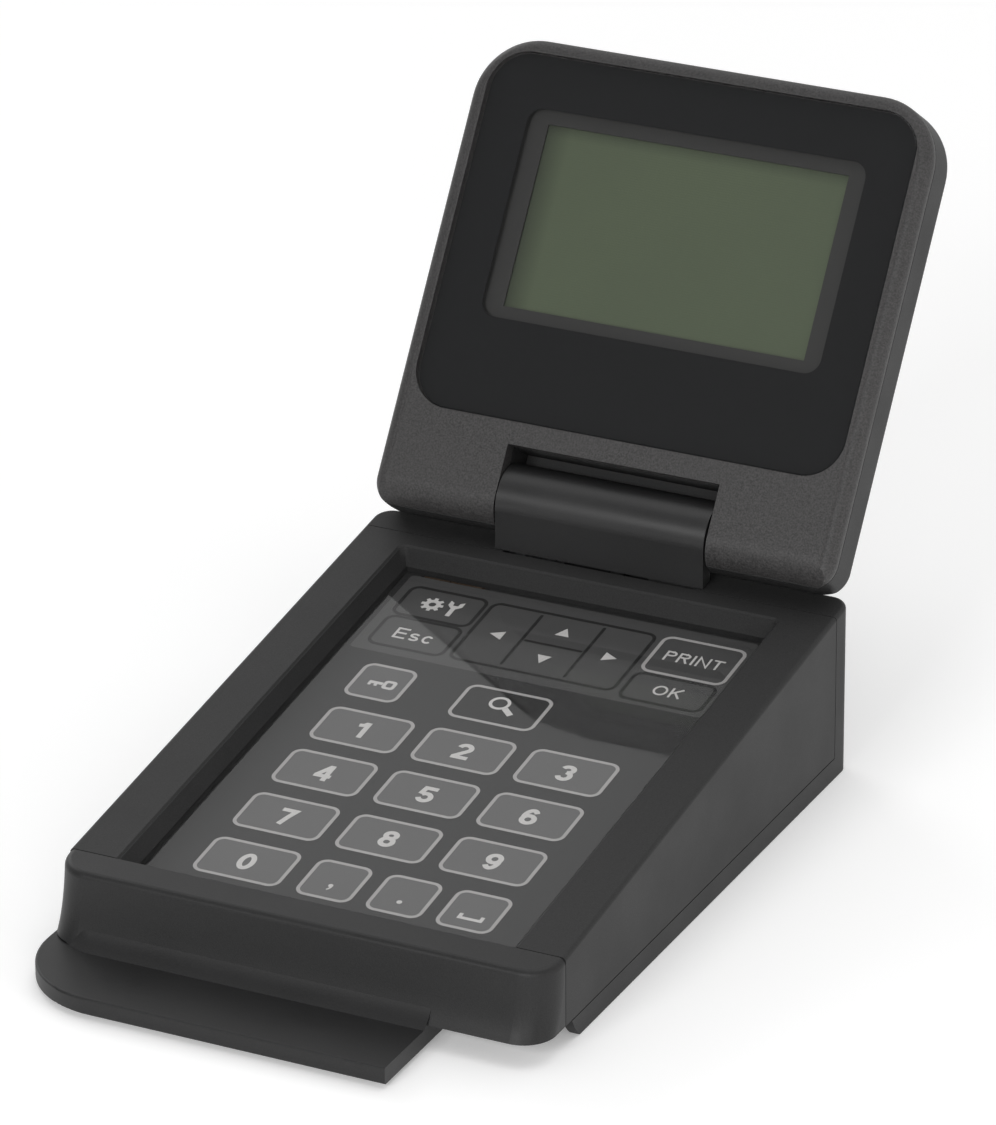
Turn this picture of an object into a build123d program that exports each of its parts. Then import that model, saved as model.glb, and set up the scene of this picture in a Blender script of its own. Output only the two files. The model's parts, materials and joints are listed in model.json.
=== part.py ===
from build123d import *
import math
import os

# Touch-panel control unit of a label maker: a sloped keypad base with a tilting display.
# Frame: +X to the right of a person at the keypad, +Y towards the back, +Z up.
# The origin is the middle of the flat underside. Millimetres throughout.

os.makedirs("parts", exist_ok=True)

# ---------------------------------------------------------------- driving dimensions
WIDTH = 108.0                 # housing, side to side
DEPTH_BACK = 136.0            # front seam to the rear face
FRONT_SEAM_Y = -71.0          # joint between the front cover and the housing
BACK_SEAM_Y = 57.0            # joint between the upper and lower housings on top
TOP_FRONT_Z = 19.5            # top face above the front seam
TOP_SLOPE = 7.66              # the top face rises towards the back, degrees
SKIRT_HEIGHT = 4.6            # strip of the lower housing that shows below the seam
SEAM = 0.22                   # open width of every moulding joint
WALL = 2.2                    # housing walls
FLOOR = 2.4                   # bottom plate
REAR_CORNER_R = 4.0           # upright corners at the back
EDGE_R = 0.9                  # rounding along the housing's top edges

RECESS_HALF = 43.2            # key recess at its rim, half its width
RECESS_BACK = 124.6           # back rim of the recess, along the slope
RECESS_DEPTH = 4.2            # rim to the glass
RECESS_DRAFT = 21.0           # lean of the recess walls, degrees
RECESS_CORNER_R = 1.6
RECESS_RUN_OUT = 4.0          # the recess runs on past the front seam
RIM_BEVEL = 0.4               # bevel along the recess's rim
TRAY_WALL = 1.8
GLASS_SIZE = (82.8, 122.4)    # touch panel
GLASS_MIDDLE = 61.6           # along the slope, from the front seam
GLASS_THICKNESS = 1.0
GLASS_PLAY = 0.2              # between the glass and the tray
SHEET_SIZE = (82.4, 121.2)
SHEET_MIDDLE = 61.2
SHEET_THICKNESS = 0.25
PRINT_GAP = 0.1               # air between a clear face and the print behind it
TRAY_FLOOR = 1.8

HINGE_ABOVE_TOP = 7.77        # hinge axis above the plane of the top face
HINGE_ALONG_TOP = 138.07      # hinge axis behind the front seam, along the slope
LID_LEAN = 33.88              # the display leans back from upright, degrees
LID_WIDTH = 105.0
LID_BOTTOM = -7.5             # lowest line of the display, from the hinge axis
LID_TOP = 96.0                # top edge of the display, from the hinge axis
LID_FRONT = 7.0               # front face in front of the hinge axis
LID_REAR = -6.6               # rear face behind the hinge axis
LID_WALL = 2.0
LID_SEAM = 3.5                # front frame meets the rear cover here
NOTCH_HALF = 24.2             # notch of the display round the knuckle, half its width
NOTCH_TOP = 10.05
NOTCH_REAR_TOP = 6.6          # the rear wall reaches this far down behind the knuckle

WINDOW_SIZE = (97.7, 77.7)
WINDOW_MIDDLE = 53.9          # above the hinge axis, along the display
WINDOW_CORNER_R = 8.5
WINDOW_THICKNESS = 1.55
WINDOW_SUNK = 0.25            # window face below the frame's face
MASK_THICKNESS = 0.1
MASK_GAP = 0.03
SCREEN_SIZE = (68.8, 39.7)    # visible screen
SCREEN_MIDDLE = 58.85
MASK_OPENING = (77.4, 45.4)
MASK_OPENING_R = 3.4

KNUCKLE_HALF = 23.8
KNUCKLE_R = 7.4
KNUCKLE_WALL = 1.6
KNUCKLE_REAR = 0.2            # the skirt's back face, behind the axis

SHAFT_R = 2.5
BUSH_R = 3.4
RUNNING_CLEARANCE = 0.05
HARNESS_R = 1.6

BOARD_THICKNESS = 1.6
MAIN_BOARD_Z = 8.0            # underside of the main board
STEM_R = 1.2                  # screw thread in plastic

# ---------------------------------------------------------------- values that follow
HALF = WIDTH / 2
REAR_Y = FRONT_SEAM_Y + DEPTH_BACK
PARTING_Z = SKIRT_HEIGHT + SEAM
STACK_DEPTH = RECESS_DEPTH + GLASS_THICKNESS + PRINT_GAP + SHEET_THICKNESS
TRAY_DEPTH = STACK_DEPTH + TRAY_FLOOR
INNER_HALF = HALF - WALL
SLOPE_COS = math.cos(math.radians(TOP_SLOPE))
SLOPE_SIN = math.sin(math.radians(TOP_SLOPE))
LEAN_COS = math.cos(math.radians(LID_LEAN))
LEAN_SIN = math.sin(math.radians(LID_LEAN))


def on_top(along, depth=0.0):
    """(Y, Z) of a point `along` the top face behind the front seam and `depth` below it."""
    y = FRONT_SEAM_Y + along * SLOPE_COS + depth * SLOPE_SIN
    z = TOP_FRONT_Z + along * SLOPE_SIN - depth * SLOPE_COS
    return (y, z)


def top_z(y, depth=0.0):
    """Height at `y` of the surface that lies `depth` below the top face."""
    return TOP_FRONT_Z + ((y - FRONT_SEAM_Y) * SLOPE_SIN - depth) / SLOPE_COS


HINGE_Y, HINGE_Z = on_top(HINGE_ALONG_TOP, -HINGE_ABOVE_TOP)

# The top face: x to the right, y up the slope. The display: x to the right, y up it.
TOP_FACE = Plane(
    origin=(0, FRONT_SEAM_Y, TOP_FRONT_Z), x_dir=(1, 0, 0), z_dir=(0, -SLOPE_SIN, SLOPE_COS)
)
LID_FACE = Plane(
    origin=(0, HINGE_Y, HINGE_Z), x_dir=(1, 0, 0), z_dir=(0, -LEAN_COS, LEAN_SIN)
)
# Side view of the display: x up the display, y out of its front.
LID_SIDE = Plane(
    origin=(0, HINGE_Y, HINGE_Z), x_dir=(0, LEAN_SIN, LEAN_COS), z_dir=(1, 0, 0)
)


def across_axis(x):
    """Plane across the hinge axis at `x`: its x to the back, its y up."""
    return Plane(origin=(x, HINGE_Y, HINGE_Z), x_dir=(0, 1, 0), z_dir=(1, 0, 0))


def write(piece, name):
    piece.part.label = name
    export_step(piece.part, f"parts/{name}.step")


def lid_level(height):
    """Plane parallel to the display's face, `height` in front of the hinge axis."""
    return LID_FACE.offset(height)


# ---------------------------------------------------------------- upper housing
HOUSING_SCREWS = [(sx * 48.4, y) for sx in (-1, 1) for y in (-60.0, 46.0)]
BOSS_R = 3.0
BOSS_SPLIT_Z = 6.0
TAIL_X = -30.0
TAIL_ALONG = 122.6
TAIL_WIDTH = 14.0
TAIL_THICKNESS = 0.3

with BuildPart() as upper_housing:
    with BuildSketch(Plane.YZ):
        with BuildLine():
            Polyline(
                (FRONT_SEAM_Y, PARTING_Z),
                (BACK_SEAM_Y, PARTING_Z),
                (BACK_SEAM_Y, top_z(BACK_SEAM_Y)),
                (FRONT_SEAM_Y, TOP_FRONT_Z),
                close=True,
            )
        make_face()
    extrude(amount=HALF, both=True)
    long_top_edges = upper_housing.edges().filter_by(
        lambda edge: abs(edge.center().X) > HALF - 1 and edge.center().Z > TOP_FRONT_Z + 5
    )
    fillet(long_top_edges, EDGE_R)
    # the hollow, open below, in front and behind
    with BuildSketch(Plane.YZ):
        with BuildLine():
            Polyline(
                (FRONT_SEAM_Y - 1, 0),
                (BACK_SEAM_Y + 1, 0),
                (BACK_SEAM_Y + 1, top_z(BACK_SEAM_Y + 1, WALL)),
                (FRONT_SEAM_Y - 1, top_z(FRONT_SEAM_Y - 1, WALL)),
                close=True,
            )
        make_face()
    extrude(amount=INNER_HALF, both=True, mode=Mode.SUBTRACT)
    # the tray that carries the touch panel
    with BuildSketch(TOP_FACE):
        with Locations((0, RECESS_BACK / 2)):
            Rectangle(2 * (RECESS_HALF + TRAY_WALL), RECESS_BACK + 2 * TRAY_WALL)
    extrude(amount=-TRAY_DEPTH)
    with BuildSketch(TOP_FACE):
        with Locations((0, (RECESS_BACK - RECESS_RUN_OUT) / 2)):
            RectangleRounded(2 * RECESS_HALF, RECESS_BACK + RECESS_RUN_OUT, RECESS_CORNER_R)
    extrude(amount=-RECESS_DEPTH, taper=RECESS_DRAFT, mode=Mode.SUBTRACT)
    with BuildSketch(TOP_FACE):
        with Locations((0, (RECESS_BACK - RECESS_RUN_OUT) / 2)):
            RectangleRounded(
                2 * (RECESS_HALF + RIM_BEVEL),
                RECESS_BACK + RECESS_RUN_OUT + 2 * RIM_BEVEL,
                RECESS_CORNER_R + RIM_BEVEL,
            )
    extrude(amount=-RIM_BEVEL, taper=45, mode=Mode.SUBTRACT)
    with BuildSketch(TOP_FACE.offset(-RECESS_DEPTH + 0.01)):
        with Locations((0, RECESS_BACK / 2 - 3)):
            Rectangle(GLASS_SIZE[0] + 2 * GLASS_PLAY, RECESS_BACK + 3.0)
    extrude(amount=-(STACK_DEPTH - RECESS_DEPTH + 0.01), mode=Mode.SUBTRACT)
    # slot for the touch panel's tail
    with BuildSketch(TOP_FACE.offset(-STACK_DEPTH + 0.5)):
        with Locations((TAIL_X, TAIL_ALONG - 0.6)):
            Rectangle(TAIL_WIDTH + 2, 1.6)
    extrude(amount=-TRAY_FLOOR - 1, mode=Mode.SUBTRACT)
    # screw bosses
    for x, y in HOUSING_SCREWS:
        with BuildSketch(Plane.XY.offset(BOSS_SPLIT_Z)):
            with Locations((x, y)):
                Circle(BOSS_R)
        extrude(amount=top_z(y) - 1.4 - BOSS_SPLIT_Z)
        with BuildSketch(Plane.XY.offset(BOSS_SPLIT_Z)):
            with Locations((x, y)):
                Circle(STEM_R)
        extrude(amount=8.5, mode=Mode.SUBTRACT)
    split(bisect_by=Plane(origin=(0, FRONT_SEAM_Y, 0), z_dir=(0, 1, 0)), keep=Keep.TOP)
write(upper_housing, "upper_housing")

# ---------------------------------------------------------------- touch panel and key sheet
with BuildPart() as touch_panel_glass:
    with BuildSketch(TOP_FACE.offset(-RECESS_DEPTH - GLASS_THICKNESS)):
        with Locations((0, GLASS_MIDDLE)):
            RectangleRounded(*GLASS_SIZE, 0.8)
    extrude(amount=GLASS_THICKNESS)
    chamfer(touch_panel_glass.faces().sort_by(Axis.Z)[-1].edges(), 0.12)
write(touch_panel_glass, "touch_panel_glass")

with BuildPart() as key_sheet:
    with BuildSketch(TOP_FACE.offset(-STACK_DEPTH)):
        with Locations((0, SHEET_MIDDLE)):
            Rectangle(*SHEET_SIZE)
    extrude(amount=SHEET_THICKNESS)
write(key_sheet, "key_sheet")

# The flat tail leaves the back edge of the glass, drops through the tray and runs
# forward to its connector on the main board.
TAIL_END_Y = 40.0
TAIL_BOTTOM_Z = MAIN_BOARD_Z + BOARD_THICKNESS + 1.2
tail_top_y, tail_top_z = on_top(TAIL_ALONG - 0.6, RECESS_DEPTH + GLASS_THICKNESS)

with BuildPart() as touch_panel_tail:
    with BuildSketch(Plane.YZ.offset(TAIL_X - TAIL_WIDTH / 2)):
        with BuildLine():
            Polyline(
                (tail_top_y, tail_top_z),
                (tail_top_y, TAIL_BOTTOM_Z + TAIL_THICKNESS),
                (TAIL_END_Y, TAIL_BOTTOM_Z + TAIL_THICKNESS),
                (TAIL_END_Y, TAIL_BOTTOM_Z),
                (tail_top_y + TAIL_THICKNESS, TAIL_BOTTOM_Z),
                (tail_top_y + TAIL_THICKNESS, tail_top_z + 0.04),
                close=True,
            )
        make_face()
    extrude(amount=TAIL_WIDTH)
write(touch_panel_tail, "touch_panel_tail")

# ---------------------------------------------------------------- front cover with its lip
APRON = [(PARTING_Z, 11.2), (8.0, 9.5), (12.0, 8.25), (16.0, 7.5), (20.5, 7.1)]  # (z, depth)
COVER_CORNER_R = 6.8
LIP_BOTTOM_Z = 0.9
LIP_TOP_Z = 4.5
LIP_DEPTH = 29.4
LIP_RIGHT = 30.0
LIP_CORNER_R = 19.5
LIP_EDGE_R = 0.45
COVER_EDGE_R = 1.5
FLARE = [(LIP_TOP_Z - 0.4, 13.6), (4.9, 12.3), (6.0, 11.0), (8.0, 9.45)]   # (z, depth)

# the apron runs out into the lip in a hollow curve
with BuildPart() as lip_flare:
    for z, depth in FLARE:
        with BuildSketch(Plane.XY.offset(z)) as section:
            with Locations((0, FRONT_SEAM_Y - depth / 2)):
                Rectangle(WIDTH, depth)
            fillet(section.vertices().group_by(Axis.Y)[0], COVER_CORNER_R + (depth - 7.1) * 0.8)
    loft()
    split(bisect_by=Plane(origin=(LIP_RIGHT, 0, 0), z_dir=(1, 0, 0)), keep=Keep.BOTTOM)
    split(
        bisect_by=Plane(origin=(0, FRONT_SEAM_Y - 6, 0), z_dir=(0, 1, 0)), keep=Keep.BOTTOM
    )

with BuildPart() as front_cover:
    for z, depth in APRON:
        with BuildSketch(Plane.XY.offset(z)) as section:
            with Locations((0, FRONT_SEAM_Y - depth / 2)):
                Rectangle(WIDTH, depth)
            fillet(section.vertices().group_by(Axis.Y)[0], COVER_CORNER_R)
    loft()
    # the slope of the top face carries on over the cover
    with BuildSketch(TOP_FACE):
        Rectangle(2 * WIDTH, WIDTH)
    extrude(amount=20, mode=Mode.SUBTRACT)
    cover_top_edges = front_cover.edges().filter_by(
        lambda edge: edge.center().Z > TOP_FRONT_Z - 1.6 and edge.center().Y < FRONT_SEAM_Y - 0.5
    )
    fillet(cover_top_edges, COVER_EDGE_R)
    # hollow behind the apron, open to the housing
    with BuildSketch(Plane.XY.offset(PARTING_Z + WALL)):
        with Locations((0, FRONT_SEAM_Y - 2.6)):
            Rectangle(2 * INNER_HALF - 2, 5.4)
    extrude(amount=4.6, mode=Mode.SUBTRACT)
    # the lip that reaches forward under the apron
    with BuildSketch(Plane.XY.offset(LIP_BOTTOM_Z)):
        with BuildLine():
            rear_y = FRONT_SEAM_Y - 2
            front_y = FRONT_SEAM_Y - LIP_DEPTH
            Line((-HALF, rear_y), (LIP_RIGHT, rear_y))
            Line((LIP_RIGHT, rear_y), (LIP_RIGHT, front_y))
            Line((LIP_RIGHT, front_y), (-HALF + LIP_CORNER_R, front_y))
            RadiusArc((-HALF + LIP_CORNER_R, front_y), (-HALF, front_y + LIP_CORNER_R), LIP_CORNER_R)
            Line((-HALF, front_y + LIP_CORNER_R), (-HALF, rear_y))
        make_face()
    extrude(amount=LIP_TOP_Z - LIP_BOTTOM_Z)
    lip_front_edges = front_cover.edges().filter_by(
        lambda edge: edge.center().Y < FRONT_SEAM_Y - 15 and edge.center().X < LIP_RIGHT - 1
    )
    fillet(lip_front_edges, LIP_EDGE_R)
    add(lip_flare.part)
    split(
        bisect_by=Plane(origin=(0, FRONT_SEAM_Y - SEAM, 0), z_dir=(0, 1, 0)), keep=Keep.BOTTOM
    )
write(front_cover, "front_cover")

# ---------------------------------------------------------------- lower housing
REAR_TOP_HALF_OPENING = 22.0
LIP_WALL = 1.4
TONGUE_LENGTH = 92.0
POSTS = [(sx * 40.0, y) for sx in (-1, 1) for y in (-46.0, 28.0)]
POST_R = 2.6
FOOT_Y = 51.0
FOOT_SCREWS_X = (-19.0, -11.0, 12.5, 19.5)
FOOT_BOSS_TOP = 8.4
FOOT_BOSS_R = 2.8
INSERT_SPACING_X = 70.0
INSERT_SPACING_Y = 80.0
INSERT_R = 2.1
INSERT_BORE_R = 1.25
INSERT_HEIGHT = 5.5
SOCKET_OPENING = (27.0, 9.0)
SOCKET_Y = -20.0
COUNTERBORE_R = 2.7
COUNTERBORE_DEPTH = 2.2
STRIP_FRONT_Y = FRONT_SEAM_Y + 2.7
PLATE_FRONT_Y = FRONT_SEAM_Y + 7.6
SHELF_THICKNESS = 1.1
SHELF_CLEARANCE = 0.25
REAR_SIDE_Y = BACK_SEAM_Y + SEAM

with BuildPart() as lower_housing:
    # bottom plate with the strips that show below the seam
    with BuildSketch() as plate_outline:
        with Locations((0, (STRIP_FRONT_Y + REAR_Y) / 2)):
            Rectangle(WIDTH, REAR_Y - STRIP_FRONT_Y)
        fillet(plate_outline.vertices().group_by(Axis.Y)[-1], REAR_CORNER_R)
    extrude(amount=SKIRT_HEIGHT)
    # the strips' front ends curve back towards the underside
    with BuildSketch(Plane.YZ):
        with BuildLine():
            tip = ThreePointArc(
                (STRIP_FRONT_Y, SKIRT_HEIGHT),
                (STRIP_FRONT_Y + 1.7, SKIRT_HEIGHT - 2.8),
                (STRIP_FRONT_Y + 3.4, 0),
            )
            Polyline(
                tip @ 1, (STRIP_FRONT_Y + 3.4, -1), (STRIP_FRONT_Y - 1, -1),
                (STRIP_FRONT_Y - 1, SKIRT_HEIGHT), tip @ 0,
            )
        make_face()
    extrude(amount=HALF + 1, both=True, mode=Mode.SUBTRACT)
    with BuildSketch():
        with Locations((0, PLATE_FRONT_Y)):
            Rectangle(2 * INNER_HALF, 2 * (PLATE_FRONT_Y - STRIP_FRONT_Y), align=(Align.CENTER, Align.MAX))
    extrude(amount=SKIRT_HEIGHT, mode=Mode.SUBTRACT)
    with BuildSketch(Plane.XY.offset(FLOOR)):
        with Locations((0, (PLATE_FRONT_Y + REAR_Y) / 2)):
            Rectangle(2 * INNER_HALF, REAR_Y - PLATE_FRONT_Y - 2 * WALL)
    extrude(amount=SKIRT_HEIGHT, mode=Mode.SUBTRACT)
    # a riser and a shelf close the housing ahead of the bottom plate
    shelf_half = INNER_HALF - SHELF_CLEARANCE
    with BuildSketch():
        with Locations((0, PLATE_FRONT_Y)):
            Rectangle(2 * shelf_half, WALL, align=(Align.CENTER, Align.MIN))
    extrude(amount=PARTING_Z + SHELF_THICKNESS)
    with BuildSketch(Plane.XY.offset(PARTING_Z)):
        with Locations((0, FRONT_SEAM_Y + SHELF_CLEARANCE)):
            Rectangle(
                2 * shelf_half, PLATE_FRONT_Y + WALL - FRONT_SEAM_Y - SHELF_CLEARANCE,
                align=(Align.CENTER, Align.MIN),
            )
    extrude(amount=SHELF_THICKNESS)
    # upright back, flush with the top face
    with BuildSketch() as back_outline:
        with Locations((0, (REAR_SIDE_Y + REAR_Y) / 2)):
            Rectangle(WIDTH, REAR_Y - REAR_SIDE_Y)
        fillet(back_outline.vertices().group_by(Axis.Y)[-1], REAR_CORNER_R)
    extrude(amount=top_z(REAR_Y) + 2)
    with BuildSketch(Plane.YZ):
        with BuildLine():
            Polyline(
                (REAR_SIDE_Y - 1, FLOOR),
                (REAR_Y - WALL, FLOOR),
                (REAR_Y - WALL, top_z(REAR_Y - WALL, WALL)),
                (REAR_SIDE_Y - 1, top_z(REAR_SIDE_Y - 1, WALL)),
                close=True,
            )
        make_face()
    extrude(amount=INNER_HALF - 1, both=True, mode=Mode.SUBTRACT)
    with BuildSketch(TOP_FACE):
        with Locations((0, DEPTH_BACK)):
            Rectangle(2 * WIDTH, WIDTH)
    extrude(amount=20, mode=Mode.SUBTRACT)
    top_rim = lower_housing.edges().filter_by(
        lambda edge: edge.center().Z > top_z(REAR_SIDE_Y) - 0.5 and edge.center().Y > REAR_Y - 4.5
    )
    fillet(top_rim, EDGE_R)
    # opening for the hinge columns and the harness
    with BuildSketch(Plane.XY.offset(FLOOR + 20)):
        with Locations((0, (REAR_SIDE_Y + REAR_Y - WALL) / 2 - 1)):
            Rectangle(2 * REAR_TOP_HALF_OPENING, REAR_Y - WALL - REAR_SIDE_Y + 2)
    extrude(amount=40, mode=Mode.SUBTRACT)
    # tongues that stand inside the upper housing
    with BuildSketch(Plane.XY.offset(FLOOR - 0.4)):
        with Locations(*[(sx * (INNER_HALF - 0.2 - LIP_WALL / 2), -6.5) for sx in (-1, 1)]):
            Rectangle(LIP_WALL, TONGUE_LENGTH)
    extrude(amount=5.6)
    # bosses for the housing screws
    with BuildSketch(Plane.XY.offset(FLOOR - 0.4)):
        with Locations(*HOUSING_SCREWS):
            Circle(BOSS_R)
    extrude(amount=BOSS_SPLIT_Z - SEAM - FLOOR + 0.4)
    # posts for the main board, feet of the hinge columns and the host screws
    with BuildSketch(Plane.XY.offset(FLOOR - 0.4)):
        with Locations(*POSTS):
            Circle(POST_R)
    extrude(amount=MAIN_BOARD_Z - FLOOR + 0.4)
    with BuildSketch(Plane.XY.offset(FLOOR - 0.4)):
        with Locations(*[(x, FOOT_Y) for x in FOOT_SCREWS_X]):
            Circle(FOOT_BOSS_R)
    extrude(amount=FOOT_BOSS_TOP - FLOOR + 0.4)
    with BuildSketch(Plane.XY.offset(FLOOR - 0.4)):
        with GridLocations(INSERT_SPACING_X, INSERT_SPACING_Y, 2, 2):
            Circle(INSERT_R + 1.8)
    extrude(amount=INSERT_HEIGHT - FLOOR + 0.4)
    with BuildSketch():
        with GridLocations(INSERT_SPACING_X, INSERT_SPACING_Y, 2, 2):
            Circle(INSERT_R)
    extrude(amount=INSERT_HEIGHT + 1, mode=Mode.SUBTRACT)
    for places, top in ((POSTS, MAIN_BOARD_Z), ([(x, FOOT_Y) for x in FOOT_SCREWS_X], FOOT_BOSS_TOP)):
        with BuildSketch(Plane.XY.offset(top)):
            with Locations(*places):
                Circle(STEM_R)
        extrude(amount=-5.0, mode=Mode.SUBTRACT)
    with BuildSketch():
        with Locations(*HOUSING_SCREWS):
            Circle(STEM_R + 0.3)
    extrude(amount=BOSS_SPLIT_Z, mode=Mode.SUBTRACT)
    with BuildSketch():
        with Locations(*HOUSING_SCREWS):
            Circle(COUNTERBORE_R)
    extrude(amount=COUNTERBORE_DEPTH, mode=Mode.SUBTRACT)
    with BuildSketch():
        with Locations((0, SOCKET_Y)):
            Rectangle(*SOCKET_OPENING)
    extrude(amount=FLOOR, mode=Mode.SUBTRACT)
write(lower_housing, "lower_housing")

with BuildPart() as mounting_inserts:
    with BuildSketch():
        with GridLocations(INSERT_SPACING_X, INSERT_SPACING_Y, 2, 2):
            Circle(INSERT_R)
            Circle(INSERT_BORE_R, mode=Mode.SUBTRACT)
    extrude(amount=INSERT_HEIGHT)
write(mounting_inserts, "mounting_inserts")

# ---------------------------------------------------------------- screws
# A row of identical pan-head screws, heads outwards along each plane's normal.


def screws(name, planes, head_r, head_h, stem_r, stem_length):
    with BuildPart() as group:
        for plane in planes:
            with BuildSketch(plane):
                Circle(head_r)
            extrude(amount=head_h)
            with BuildSketch(plane):
                Circle(stem_r)
            extrude(amount=-stem_length)
            with BuildSketch(plane.offset(head_h)):
                Rectangle(head_r * 1.2, head_r * 0.3)
                Rectangle(head_r * 0.3, head_r * 1.2)
            extrude(amount=-head_h * 0.55, mode=Mode.SUBTRACT)
    write(group, name)
    return group


down = Vector(0, 0, -1)
up = Vector(0, 0, 1)
screws(
    "housing_screws",
    [Plane(origin=(x, y, COUNTERBORE_DEPTH), x_dir=(1, 0, 0), z_dir=down) for x, y in HOUSING_SCREWS],
    head_r=2.3, head_h=1.6, stem_r=STEM_R, stem_length=11.0,
)
screws(
    "main_board_screws",
    [Plane(origin=(x, y, MAIN_BOARD_Z + BOARD_THICKNESS), z_dir=up) for x, y in POSTS],
    head_r=2.2, head_h=1.4, stem_r=STEM_R, stem_length=6.0,
)

# ---------------------------------------------------------------- main board
MAIN_BOARD_WIDTH = 88.0
MAIN_BOARD_FRONT = -52.0
MAIN_BOARD_BACK = 44.0
BOARD_TOP = MAIN_BOARD_Z + BOARD_THICKNESS
HARNESS_X = 3.0
HARNESS_SOCKET_Y = 33.0

with BuildPart() as main_board:
    with BuildSketch(Plane.XY.offset(MAIN_BOARD_Z)):
        with Locations((0, (MAIN_BOARD_FRONT + MAIN_BOARD_BACK) / 2)):
            RectangleRounded(MAIN_BOARD_WIDTH, MAIN_BOARD_BACK - MAIN_BOARD_FRONT, 2)
        with Locations(*POSTS):
            Circle(STEM_R, mode=Mode.SUBTRACT)
    extrude(amount=BOARD_THICKNESS)
write(main_board, "main_board")

CHIPS = [
    (-8.0, -4.0, 14.0, 14.0, 1.3),      # processor
    (14.0, -2.0, 8.0, 12.0, 1.1),       # program memory
    (-24.0, 14.0, 7.0, 7.0, 1.0),       # touch controller
    (24.0, 16.0, 5.0, 6.2, 1.5),        # bus driver
    (-28.0, -14.0, 6.0, 5.0, 1.5),      # power regulator
]
with BuildPart() as board_chips:
    for x, y, width, length, height in CHIPS:
        with BuildSketch(Plane.XY.offset(BOARD_TOP)):
            with Locations((x, y)):
                Rectangle(width, length)
        extrude(amount=height)
write(board_chips, "board_chips")

CANS = [(-34, -22), (-34, -8), (32, -6)]
CAN_R = 2.5
CAN_HEIGHT = 4.2
CHIP_CAPACITORS = [(x, y) for x in (-18, 4, 26) for y in (-18, 8, 24)]
CHIP_CAPACITOR_SIZE = (2.0, 1.25)
CHIP_CAPACITOR_HEIGHT = 1.1
with BuildPart() as board_capacitors:
    with BuildSketch(Plane.XY.offset(BOARD_TOP)):
        with Locations(*CANS):
            Circle(CAN_R)
    extrude(amount=CAN_HEIGHT)
    with BuildSketch(Plane.XY.offset(BOARD_TOP)):
        with Locations(*CHIP_CAPACITORS):
            Rectangle(*CHIP_CAPACITOR_SIZE)
    extrude(amount=CHIP_CAPACITOR_HEIGHT)
write(board_capacitors, "board_capacitors")

BUZZER_PLACE = (30, 31)
BUZZER_R = 5.5
BUZZER_HEIGHT = 4.5
with BuildPart() as buzzer:
    with BuildSketch(Plane.XY.offset(BOARD_TOP)):
        with Locations(BUZZER_PLACE):
            Circle(BUZZER_R)
    extrude(amount=BUZZER_HEIGHT)
    with BuildSketch(Plane.XY.offset(BOARD_TOP + BUZZER_HEIGHT)):
        with Locations(BUZZER_PLACE):
            Circle(0.9)
    extrude(amount=-2.0, mode=Mode.SUBTRACT)
    fillet(buzzer.faces().sort_by(Axis.Z)[-1].outer_wire().edges(), 0.5)
write(buzzer, "buzzer")

TAIL_SOCKET_DEPTH = 5.0
TAIL_SOCKET_HEIGHT = 2.6
HARNESS_SOCKET = (8.0, 5.0, 4.5)

with BuildPart() as board_sockets:
    # socket of the touch panel's tail
    with BuildSketch(Plane.XY.offset(BOARD_TOP)):
        with Locations((TAIL_X, TAIL_END_Y - TAIL_SOCKET_DEPTH / 2)):
            Rectangle(TAIL_WIDTH + 4, TAIL_SOCKET_DEPTH)
    extrude(amount=TAIL_SOCKET_HEIGHT)
    # socket of the display harness
    with BuildSketch(Plane.XY.offset(BOARD_TOP)):
        with Locations((HARNESS_X, HARNESS_SOCKET_Y)):
            Rectangle(HARNESS_SOCKET[0], HARNESS_SOCKET[1])
    extrude(amount=HARNESS_SOCKET[2])
write(board_sockets, "board_sockets")

SOCKET_SIZE = (24.0, 6.4)
SOCKET_BOTTOM_Z = 0.6
with BuildPart() as host_socket:
    with BuildSketch(Plane.XY.offset(SOCKET_BOTTOM_Z)):
        with Locations((0, SOCKET_Y)):
            RectangleRounded(*SOCKET_SIZE, 0.8)
    extrude(amount=MAIN_BOARD_Z - SOCKET_BOTTOM_Z)
    with BuildSketch(Plane.XY.offset(SOCKET_BOTTOM_Z)):
        with Locations((0, SOCKET_Y)):
            Rectangle(SOCKET_SIZE[0] - 3, 2.2)
    extrude(amount=4.5, mode=Mode.SUBTRACT)
write(host_socket, "host_socket")

with BuildPart() as host_contacts:
    with BuildSketch(Plane.XY.offset(SOCKET_BOTTOM_Z + 1.0)):
        with Locations((0, SOCKET_Y)):
            with GridLocations(2.0, 1.6, 10, 2):
                Rectangle(0.8, 0.6)
    extrude(amount=3.5)
write(host_contacts, "host_contacts")

# ---------------------------------------------------------------- hinge, base side
COLUMN_BACK_Y = REAR_Y - WALL
COLUMN_FRONT_Y = COLUMN_BACK_Y - 2.2
FOOT_FRONT_Y = 47.0
FOOT_THICKNESS = 2.0
SLEEVE = (-22.0, -9.5)
SLEEVE_R = 4.2
BEARING = (10.0, 22.0)
BEARING_R = 4.7

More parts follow.
